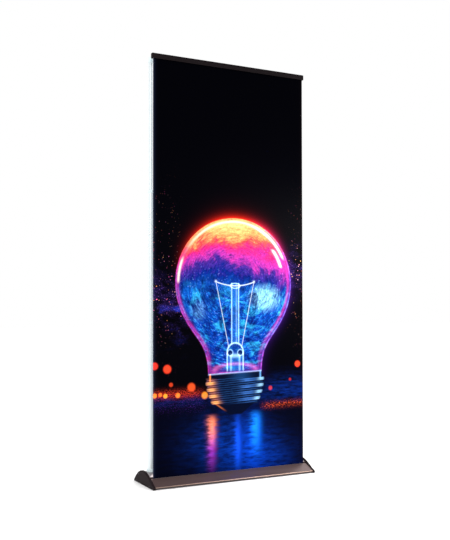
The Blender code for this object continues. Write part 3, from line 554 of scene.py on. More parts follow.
def paint_cap(paint, x, y):
    """Dark screw cap with warm light on its left and cold light on its right."""
    lip = length(x * 0.30, y - NECK_END - 0.02).bell(0.115, 0.022) * y.rise(NECK_END, NECK_END + 0.05)
    streak = noise(place(x * 2.2, y * 14.0), 3.0, 5.0, 0.75)
    paint = glow(paint, (0.95, 0.44, 0.66), lip * abs(x).rise(0.44, 0.34) * streak * 0.7)
    down = y * -1.0
    tilt = y - x * 0.035 - NECK_END
    collar = (abs(x) - 0.465).rise(0.012, -0.012) * tilt.rise(-0.115, -0.10) * tilt.rise(0.012, 0.0)
    turns = (down + THREAD_TOP + x * 0.05) / THREAD_PITCH
    ridge = abs((turns * pi).sin())
    half = ridge * 0.022 + 0.485 - (down + THREAD_TOP).larger(0.0) ** 2.0 * 0.72
    screw = (abs(x) - half).rise(0.012, -0.012)
    screw = screw * y.rise(THREAD_TOP + 0.01, THREAD_TOP - 0.01)
    last = THREAD_TOP - THREADS * THREAD_PITCH
    screw = screw * y.rise(last - 0.012, last + 0.012)
    tip_half = (y - last) * 1.45 + 0.34
    tip = (abs(x) - tip_half).rise(0.015, -0.015) * y.rise(last + 0.02, last - 0.01)
    tip = tip * y.rise(last - 0.18, last - 0.15)
    body = collar.larger(screw).larger(tip)
    paint = over(paint, (0.03, 0.06, 0.14), body)
    paint = glow(paint, (0.10, 0.24, 0.42), (x - 0.10).bell(0.0, 0.16) * collar * 0.6)
    paint = glow(paint, (0.95, 0.52, 0.24), (x + 0.43).bell(0.0, 0.012) * collar * 0.9)
    paint = glow(paint, (0.42, 0.66, 0.92), (x - 0.44).bell(0.0, 0.014) * collar * 0.7)
    paint = glow(paint, (0.60, 0.66, 0.86), tilt.bell(0.0, 0.010) * abs(x).rise(0.47, 0.45) * 0.8)
    line = ridge.rise(0.55, 0.95) * screw
    fine = abs((turns * (3.0 * pi) + streak * 3.0).sin()).rise(0.55, 0.95) * screw
    paint = glow(paint, (0.16, 0.32, 0.56), fine * streak * 0.55)
    gold = (x + half - 0.075).bell(0.0, 0.070)
    paint = glow(paint, (0.62, 0.33, 0.12), gold * screw * (fine * 0.6 + 0.25))
    paint = glow(paint, (1.0, 0.68, 0.34), gold * line * (streak * 1.3))
    cold = (x - half + 0.050).bell(0.0, 0.055)
    paint = glow(paint, (0.62, 0.84, 1.0), cold * line * (streak * 1.2))
    cool = (x - 0.22).bell(0.0, 0.13) * (line + fine * 0.5) * streak
    paint = glow(paint, (0.24, 0.42, 0.72), cool * 0.9)
    ember = (tip_half + x).bell(0.02, 0.022) * tip * y.rise(-1.95, -1.86)
    return glow(paint, (0.85, 0.44, 0.18), ember * 0.5)


def printed_film():
    """Matt laminated print. The drawing lies on the film's own flat coordinates."""
    material, shader = new_finish("printed_film", Specular_IOR_Level=0.015)
    flat = Field.tree.nodes.new("ShaderNodeUVMap")
    flat.uv_map = "film"
    split = Field.tree.nodes.new("ShaderNodeSeparateXYZ")
    Field.tree.links.new(flat.outputs[0], split.inputs[0])
    across, upward = Field(split.outputs[0]), Field(split.outputs[1])
    x = (across * (2 * FILM_HALF) - (FILM_HALF + GLOBE_X)) / GLOBE_RADIUS
    y = (upward * FILM_HEIGHT - (GLOBE_Z - SLOT_Z)) / GLOBE_RADIUS
    paint = paint_floor(paint_night(x, y), x, y)
    paint = paint_globe(paint, x, y)
    paint = paint_stem(paint, x, y)
    paint = paint_cap(paint, x, y)
    # Painted light along the film's side edges: a blue-grey sheen at the left edge, a faint brown glow
    # at the right edge.
    paint = glow(paint, (0.20, 0.23, 0.34), across.fade(0.006) * 0.5)
    paint = glow(paint, (0.12, 0.08, 0.06), (across * -1.0 + 1.0).fade(0.008) * 0.4)
    feed(shader.inputs["Base Color"], paint)
    weave = noise(own_place((900.0, 900.0, 900.0)), 1.0, 2.0, 0.6)
    feed(shader.inputs["Roughness"], weave * 0.12 + 0.44)
    bump(shader, weave, 0.05, 0.0001)
    return material


LINES_ALONG = (2.0, 420.0, 420.0)  # drawing lines that run along X
BRONZE = brushed_metal(
    "bronze_anodised", (0.090, 0.057, 0.055, 1), (0.135, 0.090, 0.089, 1), LINES_ALONG, 0.38, 0.10, 0.45
)
# Bead metal, lighter than the bronze: partly real polish, partly a painted highlight line along the
# base's foot.
BEAD_HIGHLIGHT_METAL = brushed_metal(
    "polished_bead_painted_highlight", (0.34, 0.235, 0.185, 1), (0.46, 0.33, 0.27, 1), LINES_ALONG, 0.30, 0.08
)
DOME_METAL = brushed_metal(
    "polished_dome", (0.30, 0.255, 0.26, 1), (0.44, 0.385, 0.39, 1), LINES_ALONG, 0.22, 0.08
)
# A darker, rougher copy of the bronze: painted shade for the recess under the bead.
BRONZE_PAINTED_SHADE = brushed_metal(
    "bronze_rough_painted_shade", (0.030, 0.022, 0.023, 1), (0.052, 0.038, 0.040, 1),
    LINES_ALONG, 0.50, 0.10, 0.3,
)
RAIL_METAL = brushed_metal(
    "dark_satin_rail", (0.011, 0.008, 0.009, 1), (0.030, 0.023, 0.025, 1),
    (2.0, 500.0, 500.0), 0.34, 0.10,
)
TUBE_METAL = brushed_metal(
    "pale_drawn_tube", (0.72, 0.80, 0.82, 1), (0.84, 0.90, 0.92, 1),
    (420.0, 420.0, 2.0), 0.34, 0.08, 0.25,
)
MILL_METAL = brushed_metal(
    "mill_aluminium", (0.52, 0.53, 0.55, 1), (0.76, 0.77, 0.78, 1), (3.0, 380.0, 380.0), 0.38, 0.14
)
SCREW_STEEL = brushed_metal(
    "blackened_screw", (0.05, 0.05, 0.055, 1), (0.16, 0.16, 0.17, 1), (90.0, 700.0, 700.0), 0.32, 0.12
)
SPRING_STEEL = brushed_metal(
    "drawn_spring_steel", (0.22, 0.23, 0.25, 1), (0.42, 0.43, 0.46, 1),
    (240.0, 240.0, 240.0), 0.34, 0.12,
)
CAP_PLASTIC = moulded_plastic(
    "dark_end_cap", shade(0.12, 0.10, 0.105), shade(0.175, 0.15, 0.16), 0.50, gleam=0.02
)
PALE_PLASTIC = moulded_plastic(
    "pale_moulding", shade(0.83, 0.91, 0.93), shade(0.92, 0.97, 0.98), 0.38
)
BLACK_PLASTIC = moulded_plastic(
    "black_moulding", shade(0.10, 0.10, 0.11), shade(0.17, 0.17, 0.18), 0.48
)
FILM_BACK = film_back()
RUBBER = foot_rubber()
PILE = brush_pile()
PRINT = printed_film()


# ---- making solid pieces ------------------------------------------------------------
def in_scene(name, data):
    obj = bpy.data.objects.new(name, data)
    bpy.context.scene.collection.objects.link(obj)
    return obj


def finished(name, mesh, material, body, slot, *nodes):
    """A finished piece at the origin that rides on a body and stands for its nodes."""
    mesh.name = name
    mesh.shade_smooth()
    mesh.set_sharp_from_angle(angle=SHARP_ANGLE)
    obj = in_scene(name, mesh)
    if material and not mesh.materials:
        mesh.materials.append(material)
    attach(obj, body)
    if nodes:
        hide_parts(*nodes)
    return obj


def solid_mesh(bm):
    bmesh.ops.remove_doubles(bm, verts=bm.verts, dist=1e-6)
    bmesh.ops.recalc_face_normals(bm, faces=bm.faces)
    mesh = bpy.data.meshes.new("solid")
    bm.to_mesh(mesh)
    bm.free()
    return mesh


def lofted(sections):
    """Outlines of as many points each, at their own X, skinned into one solid."""
    bm = bmesh.new()
    rings = [[bm.verts.new((x, y, z)) for y, z in outline] for x, outline in sections]
    for near, far in zip(rings, rings[1:]):
        for i in range(len(near)):
            j = (i + 1) % len(near)
            bm.faces.new((near[i], near[j], far[j], far[i]))
    bm.faces.new(rings[0])
    bm.faces.new(rings[-1][::-1])
    return solid_mesh(bm)


def extruded(outline, x_low, x_high):
    """A closed outline in the YZ plane, extruded along X."""
    return lofted([(x_low, outline), (x_high, outline)])


def turned(profile, centre, steps=64, lying=False):
    """A closed profile of (radius, height) points turned about its own axis."""
    bm = bmesh.new()
    rings = []
    for radius, height in profile:
        if radius < 1e-7:
            rings.append([bm.verts.new((0, 0, height))] * steps)
            continue
        ring = []
        for i in range(steps):
            angle = 2 * pi * i / steps
            ring.append(bm.verts.new((radius * cos(angle), radius * sin(angle), height)))
        rings.append(ring)
    for k in range(len(rings)):
        near, far = rings[k], rings[(k + 1) % len(rings)]
        for i in range(steps):
            j = (i + 1) % steps
            corners = []
            for vert in (near[i], near[j], far[j], far[i]):
                if vert not in corners:
                    corners.append(vert)
            if len(corners) > 2:
                bm.faces.new(corners)
    if lying:
        bmesh.ops.rotate(bm, verts=bm.verts, matrix=Matrix.Rotation(pi / 2, 3, "Y"))
    bmesh.ops.translate(bm, verts=bm.verts, vec=centre)
    return solid_mesh(bm)


def with_modifiers(mesh, *steps):
    """The mesh after the modifiers that steps add to a passing object."""
    obj = in_scene("blank", mesh)
    tools = [tool for step in steps for tool in step(obj) or ()]
    depsgraph = bpy.context.evaluated_depsgraph_get()
    result = bpy.data.meshes.new_from_object(obj.evaluated_get(depsgraph))
    for passing in (obj, *tools):
        bpy.data.objects.remove(passing)
    return result


def rounding(width, segments=3, angle=40):
    """A step that rounds every edge sharper than an angle in degrees."""
    def step(obj):
        mod = obj.modifiers.new("rounding", "BEVEL")
        mod.width = width
        mod.segments = segments
        mod.limit_method = "ANGLE"
        mod.angle_limit = radians(angle)
        mod.harden_normals = False

    return step


def cut_or_join(operation, *meshes):
    """A step that cuts meshes out of a piece, or joins them to it."""
    def step(obj):
        tools = [in_scene("tool", mesh) for mesh in meshes]
        for tool in tools:
            mod = obj.modifiers.new("tool", "BOOLEAN")
            mod.operation = operation
            mod.solver = "EXACT"
            mod.object = tool
        return tools

    return step


def arc(centre, radius, start, stop, count):
    """Points along an arc, from one angle in degrees to another."""
    points = []
    for i in range(count + 1):
        angle = radians(start + (stop - start) * i / count)
        points.append((centre[0] + radius * cos(angle), centre[1] + radius * sin(angle)))
    return points


def block(low, high):
    bm = bmesh.new()
    bmesh.ops.create_cube(bm, size=1.0)
    bmesh.ops.scale(bm, verts=bm.verts, vec=Vector(high) - Vector(low))
    bmesh.ops.translate(bm, verts=bm.verts, vec=(Vector(low) + Vector(high)) / 2)
    return solid_mesh(bm)


def dome_height(y, inset):
    """Height of the base's domed outline at a depth, drawn in by an inset."""
    reach = (BASE_FRONT if y < RIDGE_Y else BASE_BACK) - inset
    share = min(abs(y - RIDGE_Y) / reach, 1.0)
    rise = BASE_HEIGHT - inset - CAP_BOTTOM
    return CAP_BOTTOM + rise * max(cos(share * pi / 2), 0.0) ** FULLNESS


def dome_angles(y_from, inset, lowest):
    """Where the dome's outline starts and stops, as angles whose sine is its reach."""
    rise = BASE_HEIGHT - inset - CAP_BOTTOM
    last_cosine = (max(lowest - CAP_BOTTOM, 0.0) / rise) ** (1 / FULLNESS)
    start = asin(max(-1.0, (y_from - RIDGE_Y) / (BASE_FRONT - inset)))
    return start, asin(acos(last_cosine) * 2 / pi)


def dome_arc(y_from, inset, lowest, count):
    start, stop = dome_angles(y_from, inset, lowest)
    points = []
    for i in range(count + 1):
        angle = start + (stop - start) * i / count
        reach = (BASE_FRONT if angle < 0 else BASE_BACK) - inset
        y = RIDGE_Y + reach * sin(angle)
        points.append((y, max(dome_height(y, inset), lowest)))
    return points


# ---- pieces that follow a rule: each tree takes its sizes as named inputs --------------
class Rule:
    """A node tree for a piece that repeats or follows a rule."""

    kinds = {float: "NodeSocketFloat", int: "NodeSocketInt"}

    def __init__(self, name, **sizes):
        self.name = name
        self.sizes = sizes
        self.tree = Field.tree = bpy.data.node_groups.new(name, "GeometryNodeTree")
        face = self.tree.interface
        face.new_socket("Geometry", in_out="INPUT", socket_type="NodeSocketGeometry")
        face.new_socket("Geometry", in_out="OUTPUT", socket_type="NodeSocketGeometry")
        face.new_socket("Finish", in_out="INPUT", socket_type="NodeSocketMaterial")
        for key, value in sizes.items():
            face.new_socket(key, in_out="INPUT", socket_type=self.kinds[type(value)])
        self.source = self.tree.nodes.new("NodeGroupInput")

    def size(self, key):
        return Field(self.source.outputs[key])

    def add(self, kind, feeds=(), **settings):
        """A new node with its sockets fed, as the value of its first output."""
        family = "FunctionNode" if kind == "RandomValue" else "GeometryNode"
        node = self.tree.nodes.new(family + kind)
        for key, value in settings.items():
            setattr(node, key, value)
        for socket, value in dict(feeds).items():
            feed(node.inputs[socket], value)
        return Field(node.outputs[0])

    def join(self, *parts):
        joined = self.tree.nodes.new("GeometryNodeJoinGeometry")
        for part in parts:
            feed(joined.inputs[0], part)
        return Field(joined.outputs[0])

    def moved(self, geometry, **how):
        return self.add("Transform", {"Geometry": geometry, **how})

    def cut(self, solid, tool):
        return self.add(
            "MeshBoolean", {"Mesh 1": solid, "Mesh 2": tool}, operation="DIFFERENCE", solver="EXACT"
        )

    def close(self, result):
        """Ends the tree in real, finished geometry."""
        real = self.add("RealizeInstances", {0: result})
        done = self.add("SetMaterial", {"Geometry": real, "Material": self.size("Finish")})
        feed(self.tree.nodes.new("NodeGroupOutput").inputs[0], done)
        return self

    def make(self, material, start=None, **sizes):
        """The rule worked out into a plain mesh."""
        mesh = start or bpy.data.meshes.new(self.name)
        wanted = {**self.sizes, **sizes, "Finish": material}

        def step(obj):
            mod = obj.modifiers.new(self.name, "NODES")
            mod.node_group = self.tree
            for item in self.tree.interface.items_tree:
                if item.in_out == "INPUT" and item.name in wanted:
                    mod[item.identifier] = wanted[item.name]

        return with_modifiers(mesh, step)


def dome_rule():
    """The domed shell: a fuller cosine over each side of the ridge, with an even wall."""
    rule = Rule(
        "domed_shell", Length=1.0, Front=0.1, Back=0.1, Ridge=0.0, Height=0.05, Bottom=0.0,
        Fullness=0.85, Wall=0.002, Start=-0.5, Stop=1.0, Lowest=0.0, Steps=40,
        HoleX=0.4, HoleY=0.0, HoleRadius=0.01,
    )
    size, add = rule.size, rule.add
    steps, half = size("Steps"), size("Length") * 0.5
    ring = add("MeshCircle", {"Vertices": steps * 2.0, "Radius": 1.0}, fill_type="NGON")
    index = add("InputIndex")
    inner = (index + 0.5).math("GREATER_THAN", steps)
    share_ahead = index / (steps - 1.0)
    share_behind = (steps * 2.0 - 1.0 - index) / (steps - 1.0)
    share = share_ahead * (1.0 - inner) + share_behind * inner
    angle = size("Start") + share * (size("Stop") - size("Start"))
    in_front = angle.math("LESS_THAN", 0.0)
    inset = inner * size("Wall")
    reach = size("Front") * in_front + size("Back") * (1.0 - in_front) - inset
    sine = angle.sin()
    full = (abs(sine) * (pi / 2)).cos().larger(0.0) ** size("Fullness")
    height = size("Bottom") + (size("Height") - inset) * full
    corner = place(half, size("Ridge") + reach * sine, height.larger(size("Lowest")))
    outline = add("SetPosition", {"Geometry": ring, "Position": corner})
    run = place(half * -2.0, 0.0, 0.0)
    drawn = add("ExtrudeMesh", {"Mesh": outline, "Offset": run, "Individual": False})
    far_end = add("FlipFaces", {"Mesh": outline})
    shell = add("MergeByDistance", {"Geometry": rule.join(drawn, far_end), "Distance": MERGE_DISTANCE})
    for sign in SIDES.values():
        drill = add("MeshCylinder", {"Vertices": 96, "Radius": size("HoleRadius"), "Depth": 0.2})
        spot = place(size("HoleX") * float(sign), size("HoleY"), 0.11)
        shell = rule.cut(shell, rule.moved(drill, Translation=spot))
    return rule.close(shell)


def tube_rule():
    """A drawn tube: one round bar with a smaller one taken out of it."""
    rule = Rule("drawn_tube", Radius=0.01, Wall=0.001, Low=0.0, High=1.0, X=0.0, Y=0.0, Sides=72)
    size = rule.size
    bars = []
    for radius, extra in ((size("Radius"), 0.0), (size("Radius") - size("Wall"), 0.02)):
        depth = size("High") - size("Low") + extra
        bar = {"Vertices": size("Sides"), "Radius": radius, "Depth": depth}
        bars.append(rule.add("MeshCylinder", bar))
    spot = place(size("X"), size("Y"), (size("High") + size("Low")) * 0.5)
    return rule.close(rule.moved(rule.cut(*bars), Translation=spot))


def grip_rule():
    """Ribs round a twist lock, joined to the ring that comes in as the start."""
    rule = Rule("lock_grip", Radius=0.012, Rib=0.0005, Height=0.009, Middle=0.5, X=0.0, Y=0.0, Ribs=28)
    size, add = rule.size, rule.add
    ring = add("MeshCircle", {"Vertices": size("Ribs"), "Radius": size("Radius")})
    rib = add("MeshUVSphere", {"Segments": 8, "Rings": 6, "Radius": 1.0})
    rib = rule.moved(rib, Scale=place(size("Rib"), size("Rib"), size("Height") * 0.5))
    ribs = add("InstanceOnPoints", {"Points": ring, "Instance": rib})
    spot = place(size("X"), size("Y"), size("Middle"))
    return rule.close(rule.join(size("Geometry"), rule.moved(ribs, Translation=spot)))


def screw_rule():
    """A pan-head screw with a cross recess on every start point, facing out of its side."""
    rule = Rule("cap_screw", Radius=0.0038, Head=0.0022, Shank=0.0018, Reach=0.014)
    size, add = rule.size, rule.add
    head = add(
        "MeshCylinder",
        {"Vertices": 40, "Side Segments": 6, "Radius": size("Radius"), "Depth": size("Head")},
    )
    split = rule.tree.nodes.new("ShaderNodeSeparateXYZ")
    feed(split.inputs[0], add("InputPosition"))
    x, y, z = (Field(output) for output in split.outputs)
    share = (z / size("Head")).larger(0.0)
    narrow = 1.0 - share * share * 1.1
    head = add("SetPosition", {"Geometry": head, "Position": place(x * narrow, y * narrow, z)})
    wide, thin = size("Radius") * 0.98, size("Radius") * 0.26
    for shape in ((wide, thin), (thin, wide)):
        slot = add("MeshCube", {"Size": place(*shape, size("Head") * 1.3)})
        head = rule.cut(head, rule.moved(slot, Translation=place(0.0, 0.0, size("Head") * 0.5)))
    shank = add("MeshCylinder", {"Vertices": 24, "Radius": size("Shank"), "Depth": size("Reach")})
    shank = rule.moved(shank, Translation=place(0.0, 0.0, size("Reach") * -0.5))
    lift = place(0.0, 0.0, size("Head") * 0.5)
    screw = rule.moved(rule.join(head, shank), Translation=lift, Rotation=(0.0, 0.0, 0.6))
    side = add("InputNamedAttribute", {"Name": "side"}, data_type="FLOAT")
    turn = place(0.0, side * (pi / 2), 0.0)
    return rule.close(
        add("InstanceOnPoints", {"Points": size("Geometry"), "Instance": screw, "Rotation": turn})
    )


def pile_rule():
    """Rows of short bristles that stand in a strip, each leaning its own way."""
    rule = Rule("brush_pile", Length=0.85, Bristles=520, Radius=0.0006, Height=0.004, Lean=0.2, Seed=7)
    size, add = rule.size, rule.add
    half = size("Length") * 0.5
    rows = []
    for y in (-0.0012, 0.0, 0.0012):
        start, stop = place(half * -1.0, y, 0.0), place(half, y, 0.0)
        line = {"Count": size("Bristles"), "Start Location": start, "Offset": stop}
        rows.append(add("MeshLine", line, mode="END_POINTS"))
    lean = add(
        "RandomValue", {"Min": (-1.0, -1.0, 0.0), "Max": (1.0, 1.0, 6.0), "Seed": size("Seed")},
        data_type="FLOAT_VECTOR",
    )
    tip = rule.tree.nodes.new("ShaderNodeVectorMath")
    tip.operation = "MULTIPLY"
    feed(tip.inputs[0], lean)
    feed(tip.inputs[1], place(size("Lean"), size("Lean"), 1.0))
    cone = {"Vertices": 5, "Side Segments": 1, "Radius Bottom": size("Radius"),
            "Radius Top": size("Radius") * 0.55, "Depth": size("Height")}
    bristle = add("MeshCone", cone)
    pile = {"Points": rule.join(*rows), "Instance": bristle, "Rotation": Field(tip.outputs[0])}
    return rule.close(add("InstanceOnPoints", pile))


# ---- the base -----------------------------------------------------------------------
def make_shell():
    """The bright domed shell behind the slot, with the two holes for the pole sockets."""
    inset_height = BASE_HEIGHT - CAP_PROUD - CAP_BOTTOM
    start, stop = dome_angles(SLOT_REAR, CAP_PROUD, FLOOR_BOTTOM)
    mesh = dome_rule().make(
        DOME_METAL, Length=2 * HOUSING_HALF, Front=BASE_FRONT - CAP_PROUD, Back=BASE_BACK - CAP_PROUD,
        Ridge=RIDGE_Y, Height=inset_height, Bottom=CAP_BOTTOM, Fullness=FULLNESS, Wall=WALL,
        Start=start, Stop=stop, Lowest=FLOOR_BOTTOM, Steps=44,
        HoleX=POLE_X, HoleY=POLE_Y, HoleRadius=SOCKET_RADIUS + CLEAR,
    )
    finished("dome_shell", mesh, DOME_METAL, "base", "bronze_aluminium", "base_housing")


def make_floor():
    """Floor plate with its upturned front edge, and the leg down at the slot."""
    back = RIDGE_Y + dome_reach_at(FLOOR_TOP)
    plate = [
        (PLINTH_Y, FLOOR_BOTTOM), (back, FLOOR_BOTTOM), (back, FLOOR_TOP),
        (PLINTH_Y + WALL, FLOOR_TOP), (PLINTH_Y + WALL, PLINTH_HEIGHT), (PLINTH_Y, PLINTH_HEIGHT),
    ]
    mesh = with_modifiers(extruded(plate, -HOUSING_HALF, HOUSING_HALF), rounding(FINE_EDGE, 2))
    # The floor plate and its front lip take the darker bronze copy: painted shade under the bead.
    finished("floor_plate", mesh, BRONZE_PAINTED_SHADE, "base", "bronze_aluminium", "base_housing")
    top = dome_height(SLOT_REAR, CAP_PROUD)
    low = top - SLOT_LEG
    thick = SLOT_REAR + WALL * 0.7
    leg = [(SLOT_REAR, low), (thick, low), (thick, top - 0.0012), (SLOT_REAR, top)]
    mesh = with_modifiers(extruded(leg, -HOUSING_HALF, HOUSING_HALF), rounding(FINE_EDGE, 2))
    finished("slot_rear_leg", mesh, BRONZE, "base", "bronze_aluminium", "base_housing")


def dome_reach_at(height):
    """How far behind the ridge the housing's dome meets a height."""
    return (BASE_BACK - CAP_PROUD) * sin(dome_angles(SLOT_REAR, CAP_PROUD, height)[1])


def make_ramp():
    """Sloping front cover: a bead along its foot and a rounded lip at the slot."""
    foot = (BEAD_Y + BEAD_RADIUS * 0.72, BEAD_Z + BEAD_RADIUS * 0.69)
    run, rise = SLOT_FRONT - foot[0], SLOT_Z - foot[1]
    slope = atan2(rise, run)
    lip = 0.0011
    low_in = (-sin(slope) * WALL, cos(slope) * WALL)
    centre = (SLOT_FRONT - lip, SLOT_Z - lip * (1 - cos(slope)) - lip * 0.55)
    outline = arc((BEAD_Y, BEAD_Z), BEAD_RADIUS, 270, 46, 18)
    outline += arc(centre, lip, 90 + slope * 180 / pi, 0, 7)
    outline += [(SLOT_FRONT, SLOT_Z - SLOT_LEG), (SLOT_FRONT - WALL, SLOT_Z - SLOT_LEG)]
    outline += [(SLOT_FRONT - WALL, SLOT_Z - WALL - WALL * 0.6)]
    heel, toe, skirt = foot[0] + 0.0006, foot[0] - 0.0012, PLINTH_HEIGHT - 0.003
    outline += [(foot[0] - low_in[0] + 0.0006, foot[1] - low_in[1]), (heel, skirt), (toe, skirt)]
    mesh = extruded(outline, -HOUSING_HALF, HOUSING_HALF)
    mesh.materials.append(BRONZE)
    mesh.materials.append(BEAD_HIGHLIGHT_METAL)
    # The bead's upper faces take the lighter metal: a painted highlight line along the foot.
    for face in mesh.polygons:
        off = hypot(face.center.y - BEAD_Y, face.center.z - BEAD_Z)
        takes_highlight = face.center.z > BEAD_Z - BEAD_RADIUS * 0.5 and abs(face.normal.x) < 0.5
        if off < BEAD_RADIUS and takes_highlight:
            face.material_index = 1
    finished("front_ramp", mesh, BRONZE, "base", "bronze_aluminium", "front_cover")


def cap_outline(inset):
    """Rounded nose, then the dome down to the back, drawn in by an inset."""
    nose_y = RIDGE_Y - BASE_FRONT + NOSE_RADIUS
    nose = arc((nose_y, CAP_BOTTOM + NOSE_RADIUS), NOSE_RADIUS - inset, 270, 90, 24)
    return nose + dome_arc(nose_y + NOSE_BLEND, inset, CAP_BOTTOM + inset, 64)


def body_outline(clear):
    """The housing's end with a gap all round, to be cut out of a cap."""
    front = BEAD_Y - BEAD_RADIUS - clear
    bead = arc((BEAD_Y, BEAD_Z), BEAD_RADIUS + clear, 180, 100, 8)
    dome = dome_arc(SLOT_FRONT, CAP_PROUD - clear, FLOOR_BOTTOM - clear, 40)
    return [(front, FLOOR_BOTTOM - clear)] + bead + [(SLOT_FRONT, SLOT_Z + clear)] + dome


def screw_boxes():
    return {name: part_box(name) for name in sorted(NODES) if name.startswith("cap_screw")}


def make_caps():
    """Thick end caps that take in the housing's ends and the heads of the screws."""
    for side, sign in SIDES.items():
        outer, inner = sign * BASE_HALF, sign * CAP_INNER
        sections = [(inner, cap_outline(0.0004)), (inner + sign * 0.0004, cap_outline(0.0))]
        for step in range(9):
            turn = radians(90 * step / 8)
            x = outer - sign * CAP_EDGE * (1 - sin(turn))
            sections.append((x, cap_outline(CAP_EDGE * (1 - cos(turn)))))
        cap = lofted(sections)
        reach = sorted((sign * (CAP_INNER - 0.02), sign * (HOUSING_HALF + CLEAR)))
        cuts = [extruded(body_outline(CLEAR), *reach)]
        depth, width = 0.0025, 0.0041
        profile = [(0, -depth), (width, -depth), (width, depth), (0, depth)]
        for name, (low, high) in screw_boxes().items():
            if name.endswith(side):
                centre = (low + high) / 2
                cuts.append(turned(profile, (outer, centre.y, centre.z), 40, lying=True))
        cap = with_modifiers(cap, cut_or_join("DIFFERENCE", *cuts))
        finished("cap_" + side, cap, CAP_PLASTIC, "base", "cap_plastic", "end_cap_" + side)


def make_screws():
    """All six cap screws as one piece, each facing out of its own end."""
    places = screw_boxes()
    start = bpy.data.meshes.new("screw_places")
    spots, signs = [], []
    for name, (low, high) in places.items():
        sign = 1 if name.endswith("right") else -1
        face = high.x if sign > 0 else low.x
        spots.append((face - sign * 0.0022, (low.y + high.y) / 2, (low.z + high.z) / 2))
        signs.append(sign)
    start.from_pydata(spots, [], [])
    start.attributes.new("side", "FLOAT", "POINT").data.foreach_set("value", signs)
    mesh = screw_rule().make(SCREW_STEEL, start)
    finished("cap_screws", mesh, SCREW_STEEL, "base", "screw_steel", *places)


def make_collars():
    """Collars where the poles enter the dome, with feet cut to its slope."""
    for side, sign in SIDES.items():
        top = dome_height(POLE_Y, CAP_PROUD) + COLLAR_RISE
        low = top - COLLAR_DEPTH
        rim = arc((COLLAR_RADIUS - COLLAR_EDGE, top - COLLAR_EDGE), COLLAR_EDGE, 0, 90, 6)
        profile = [(COLLAR_RADIUS, low), *rim, (SOCKET_BORE + 0.0006, top), (SOCKET_BORE, top - 0.0006)]
        profile += [(SOCKET_BORE, low)]
        mesh = turned(profile, (sign * POLE_X, POLE_Y, 0), 96)
        for vert in mesh.vertices:
            if vert.co.z < low + 1e-5:
                vert.co.z = dome_height(vert.co.y, CAP_PROUD) - 0.0004
        name = "foot_collar_" + side
        finished("pole_collar_" + side, mesh, PALE_PLASTIC, "base", "pale_plastic", name)


def make_feet():
    """Round rubber feet with three grooves in the tread."""
    for end in ("front", "back"):
        for side in SIDES:
            name = "rubber_foot_%s_%s" % (end, side)
            low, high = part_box(name)
            centre = (low + high) / 2
            radius = (high.x - low.x) / 2
            profile = [(0, high.z), (radius - 0.0003, high.z), (radius, high.z - 0.0003)]
            profile += [(radius, 0.0006), (radius - 0.0006, 0)]
            for share in (0.75, 0.5, 0.25):
                groove = radius * share
                profile += [(groove + 0.0007, 0), (groove + 0.0004, 0.0006)]
                profile += [(groove - 0.0004, 0.0006), (groove - 0.0007, 0)]
            profile += [(0, 0)]
            mesh = turned(profile, (centre.x, centre.y, 0), 56)
            finished("foot_%s_%s" % (end, side), mesh, RUBBER, "base", "foot_rubber", name)


def make_brush():
    """The strip at the slot and the bristles that wipe the film."""
    low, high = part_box("slot_brush")
    carrier = block((low.x, low.y + 0.0004, low.z - 0.0004), (high.x, high.y, low.z + 0.0012))
    carrier = with_modifiers(carrier, rounding(FINE_EDGE, 2))
    height = high.z - low.z - 0.0006
    pile = pile_rule().make(
        PILE, Length=high.x - low.x - 0.004, Height=height, Radius=0.00055, Bristles=460, Lean=0.16
    )
    centre = (low + high) / 2
    pile.transform(Matrix.Translation((0, centre.y, low.z + 0.0006)))
    finished("brush_carrier", carrier, PILE, "base", "brush_pile", "slot_brush")
    finished("brush_bristles", pile, PILE, "base", "brush_pile", "slot_brush")


# ---- the poles ----------------------------------------------------------------------
def radius_of(node):
    """Outer radius of an upright round piece, from its packed box."""
    low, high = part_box(node)
    return (high.y - low.y) / 2


def make_poles():
    """Three drawn tubes a side, and the twist locks where they step."""
    tube = tube_rule()
    grip = grip_rule()
    bodies = {"lower": "base", "middle": "{side}_middle", "upper": "{side}_upper"}
    for side, sign in SIDES.items():
        for part, body in bodies.items():
            name = "pole_%s_%s" % (part, side)
            low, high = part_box(name)
            mesh = tube.make(
                TUBE_METAL, Radius=radius_of(name), Wall=TUBE_WALL, Low=low.z, High=high.z,
                X=sign * POLE_X, Y=POLE_Y,
            )
            piece = "tube_%s_%s" % (part, side)
            finished(piece, mesh, TUBE_METAL, body.format(side=side), "pale_tube", name)
        for part, body in (("lower", "base"), ("middle", side + "_middle")):
            name = "%s_lock_%s" % (part, side)
            low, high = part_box(name)
            outer = radius_of(name)
            bore = radius_of("pole_%s_%s" % ("middle" if part == "lower" else "upper", side)) + CLEAR
            spigot = radius_of("pole_%s_%s" % (part, side)) - TUBE_WALL - CLEAR
            seat = high.z - LOCK_RISE
            rim = arc((outer - LOCK_EDGE, high.z - LOCK_EDGE), LOCK_EDGE, 0, 90, 6)
            profile = [(outer, seat + 0.0006), *rim]
            profile += [(bore + 0.0004, high.z), (bore, high.z - 0.0004), (bore, low.z)]
            profile += [(spigot, low.z), (spigot, seat), (outer - 0.0005, seat)]
            ring = turned(profile, (sign * POLE_X, POLE_Y, 0), 72)
            mesh = grip.make(
                PALE_PLASTIC, ring, Radius=outer - 0.0001, Rib=0.0004, Height=0.0088,
                Middle=seat + 0.0062, X=sign * POLE_X, Y=POLE_Y, Ribs=30,
            )
            finished("twist_lock_%s_%s" % (part, side), mesh, PALE_PLASTIC, body, "pale_plastic", name)


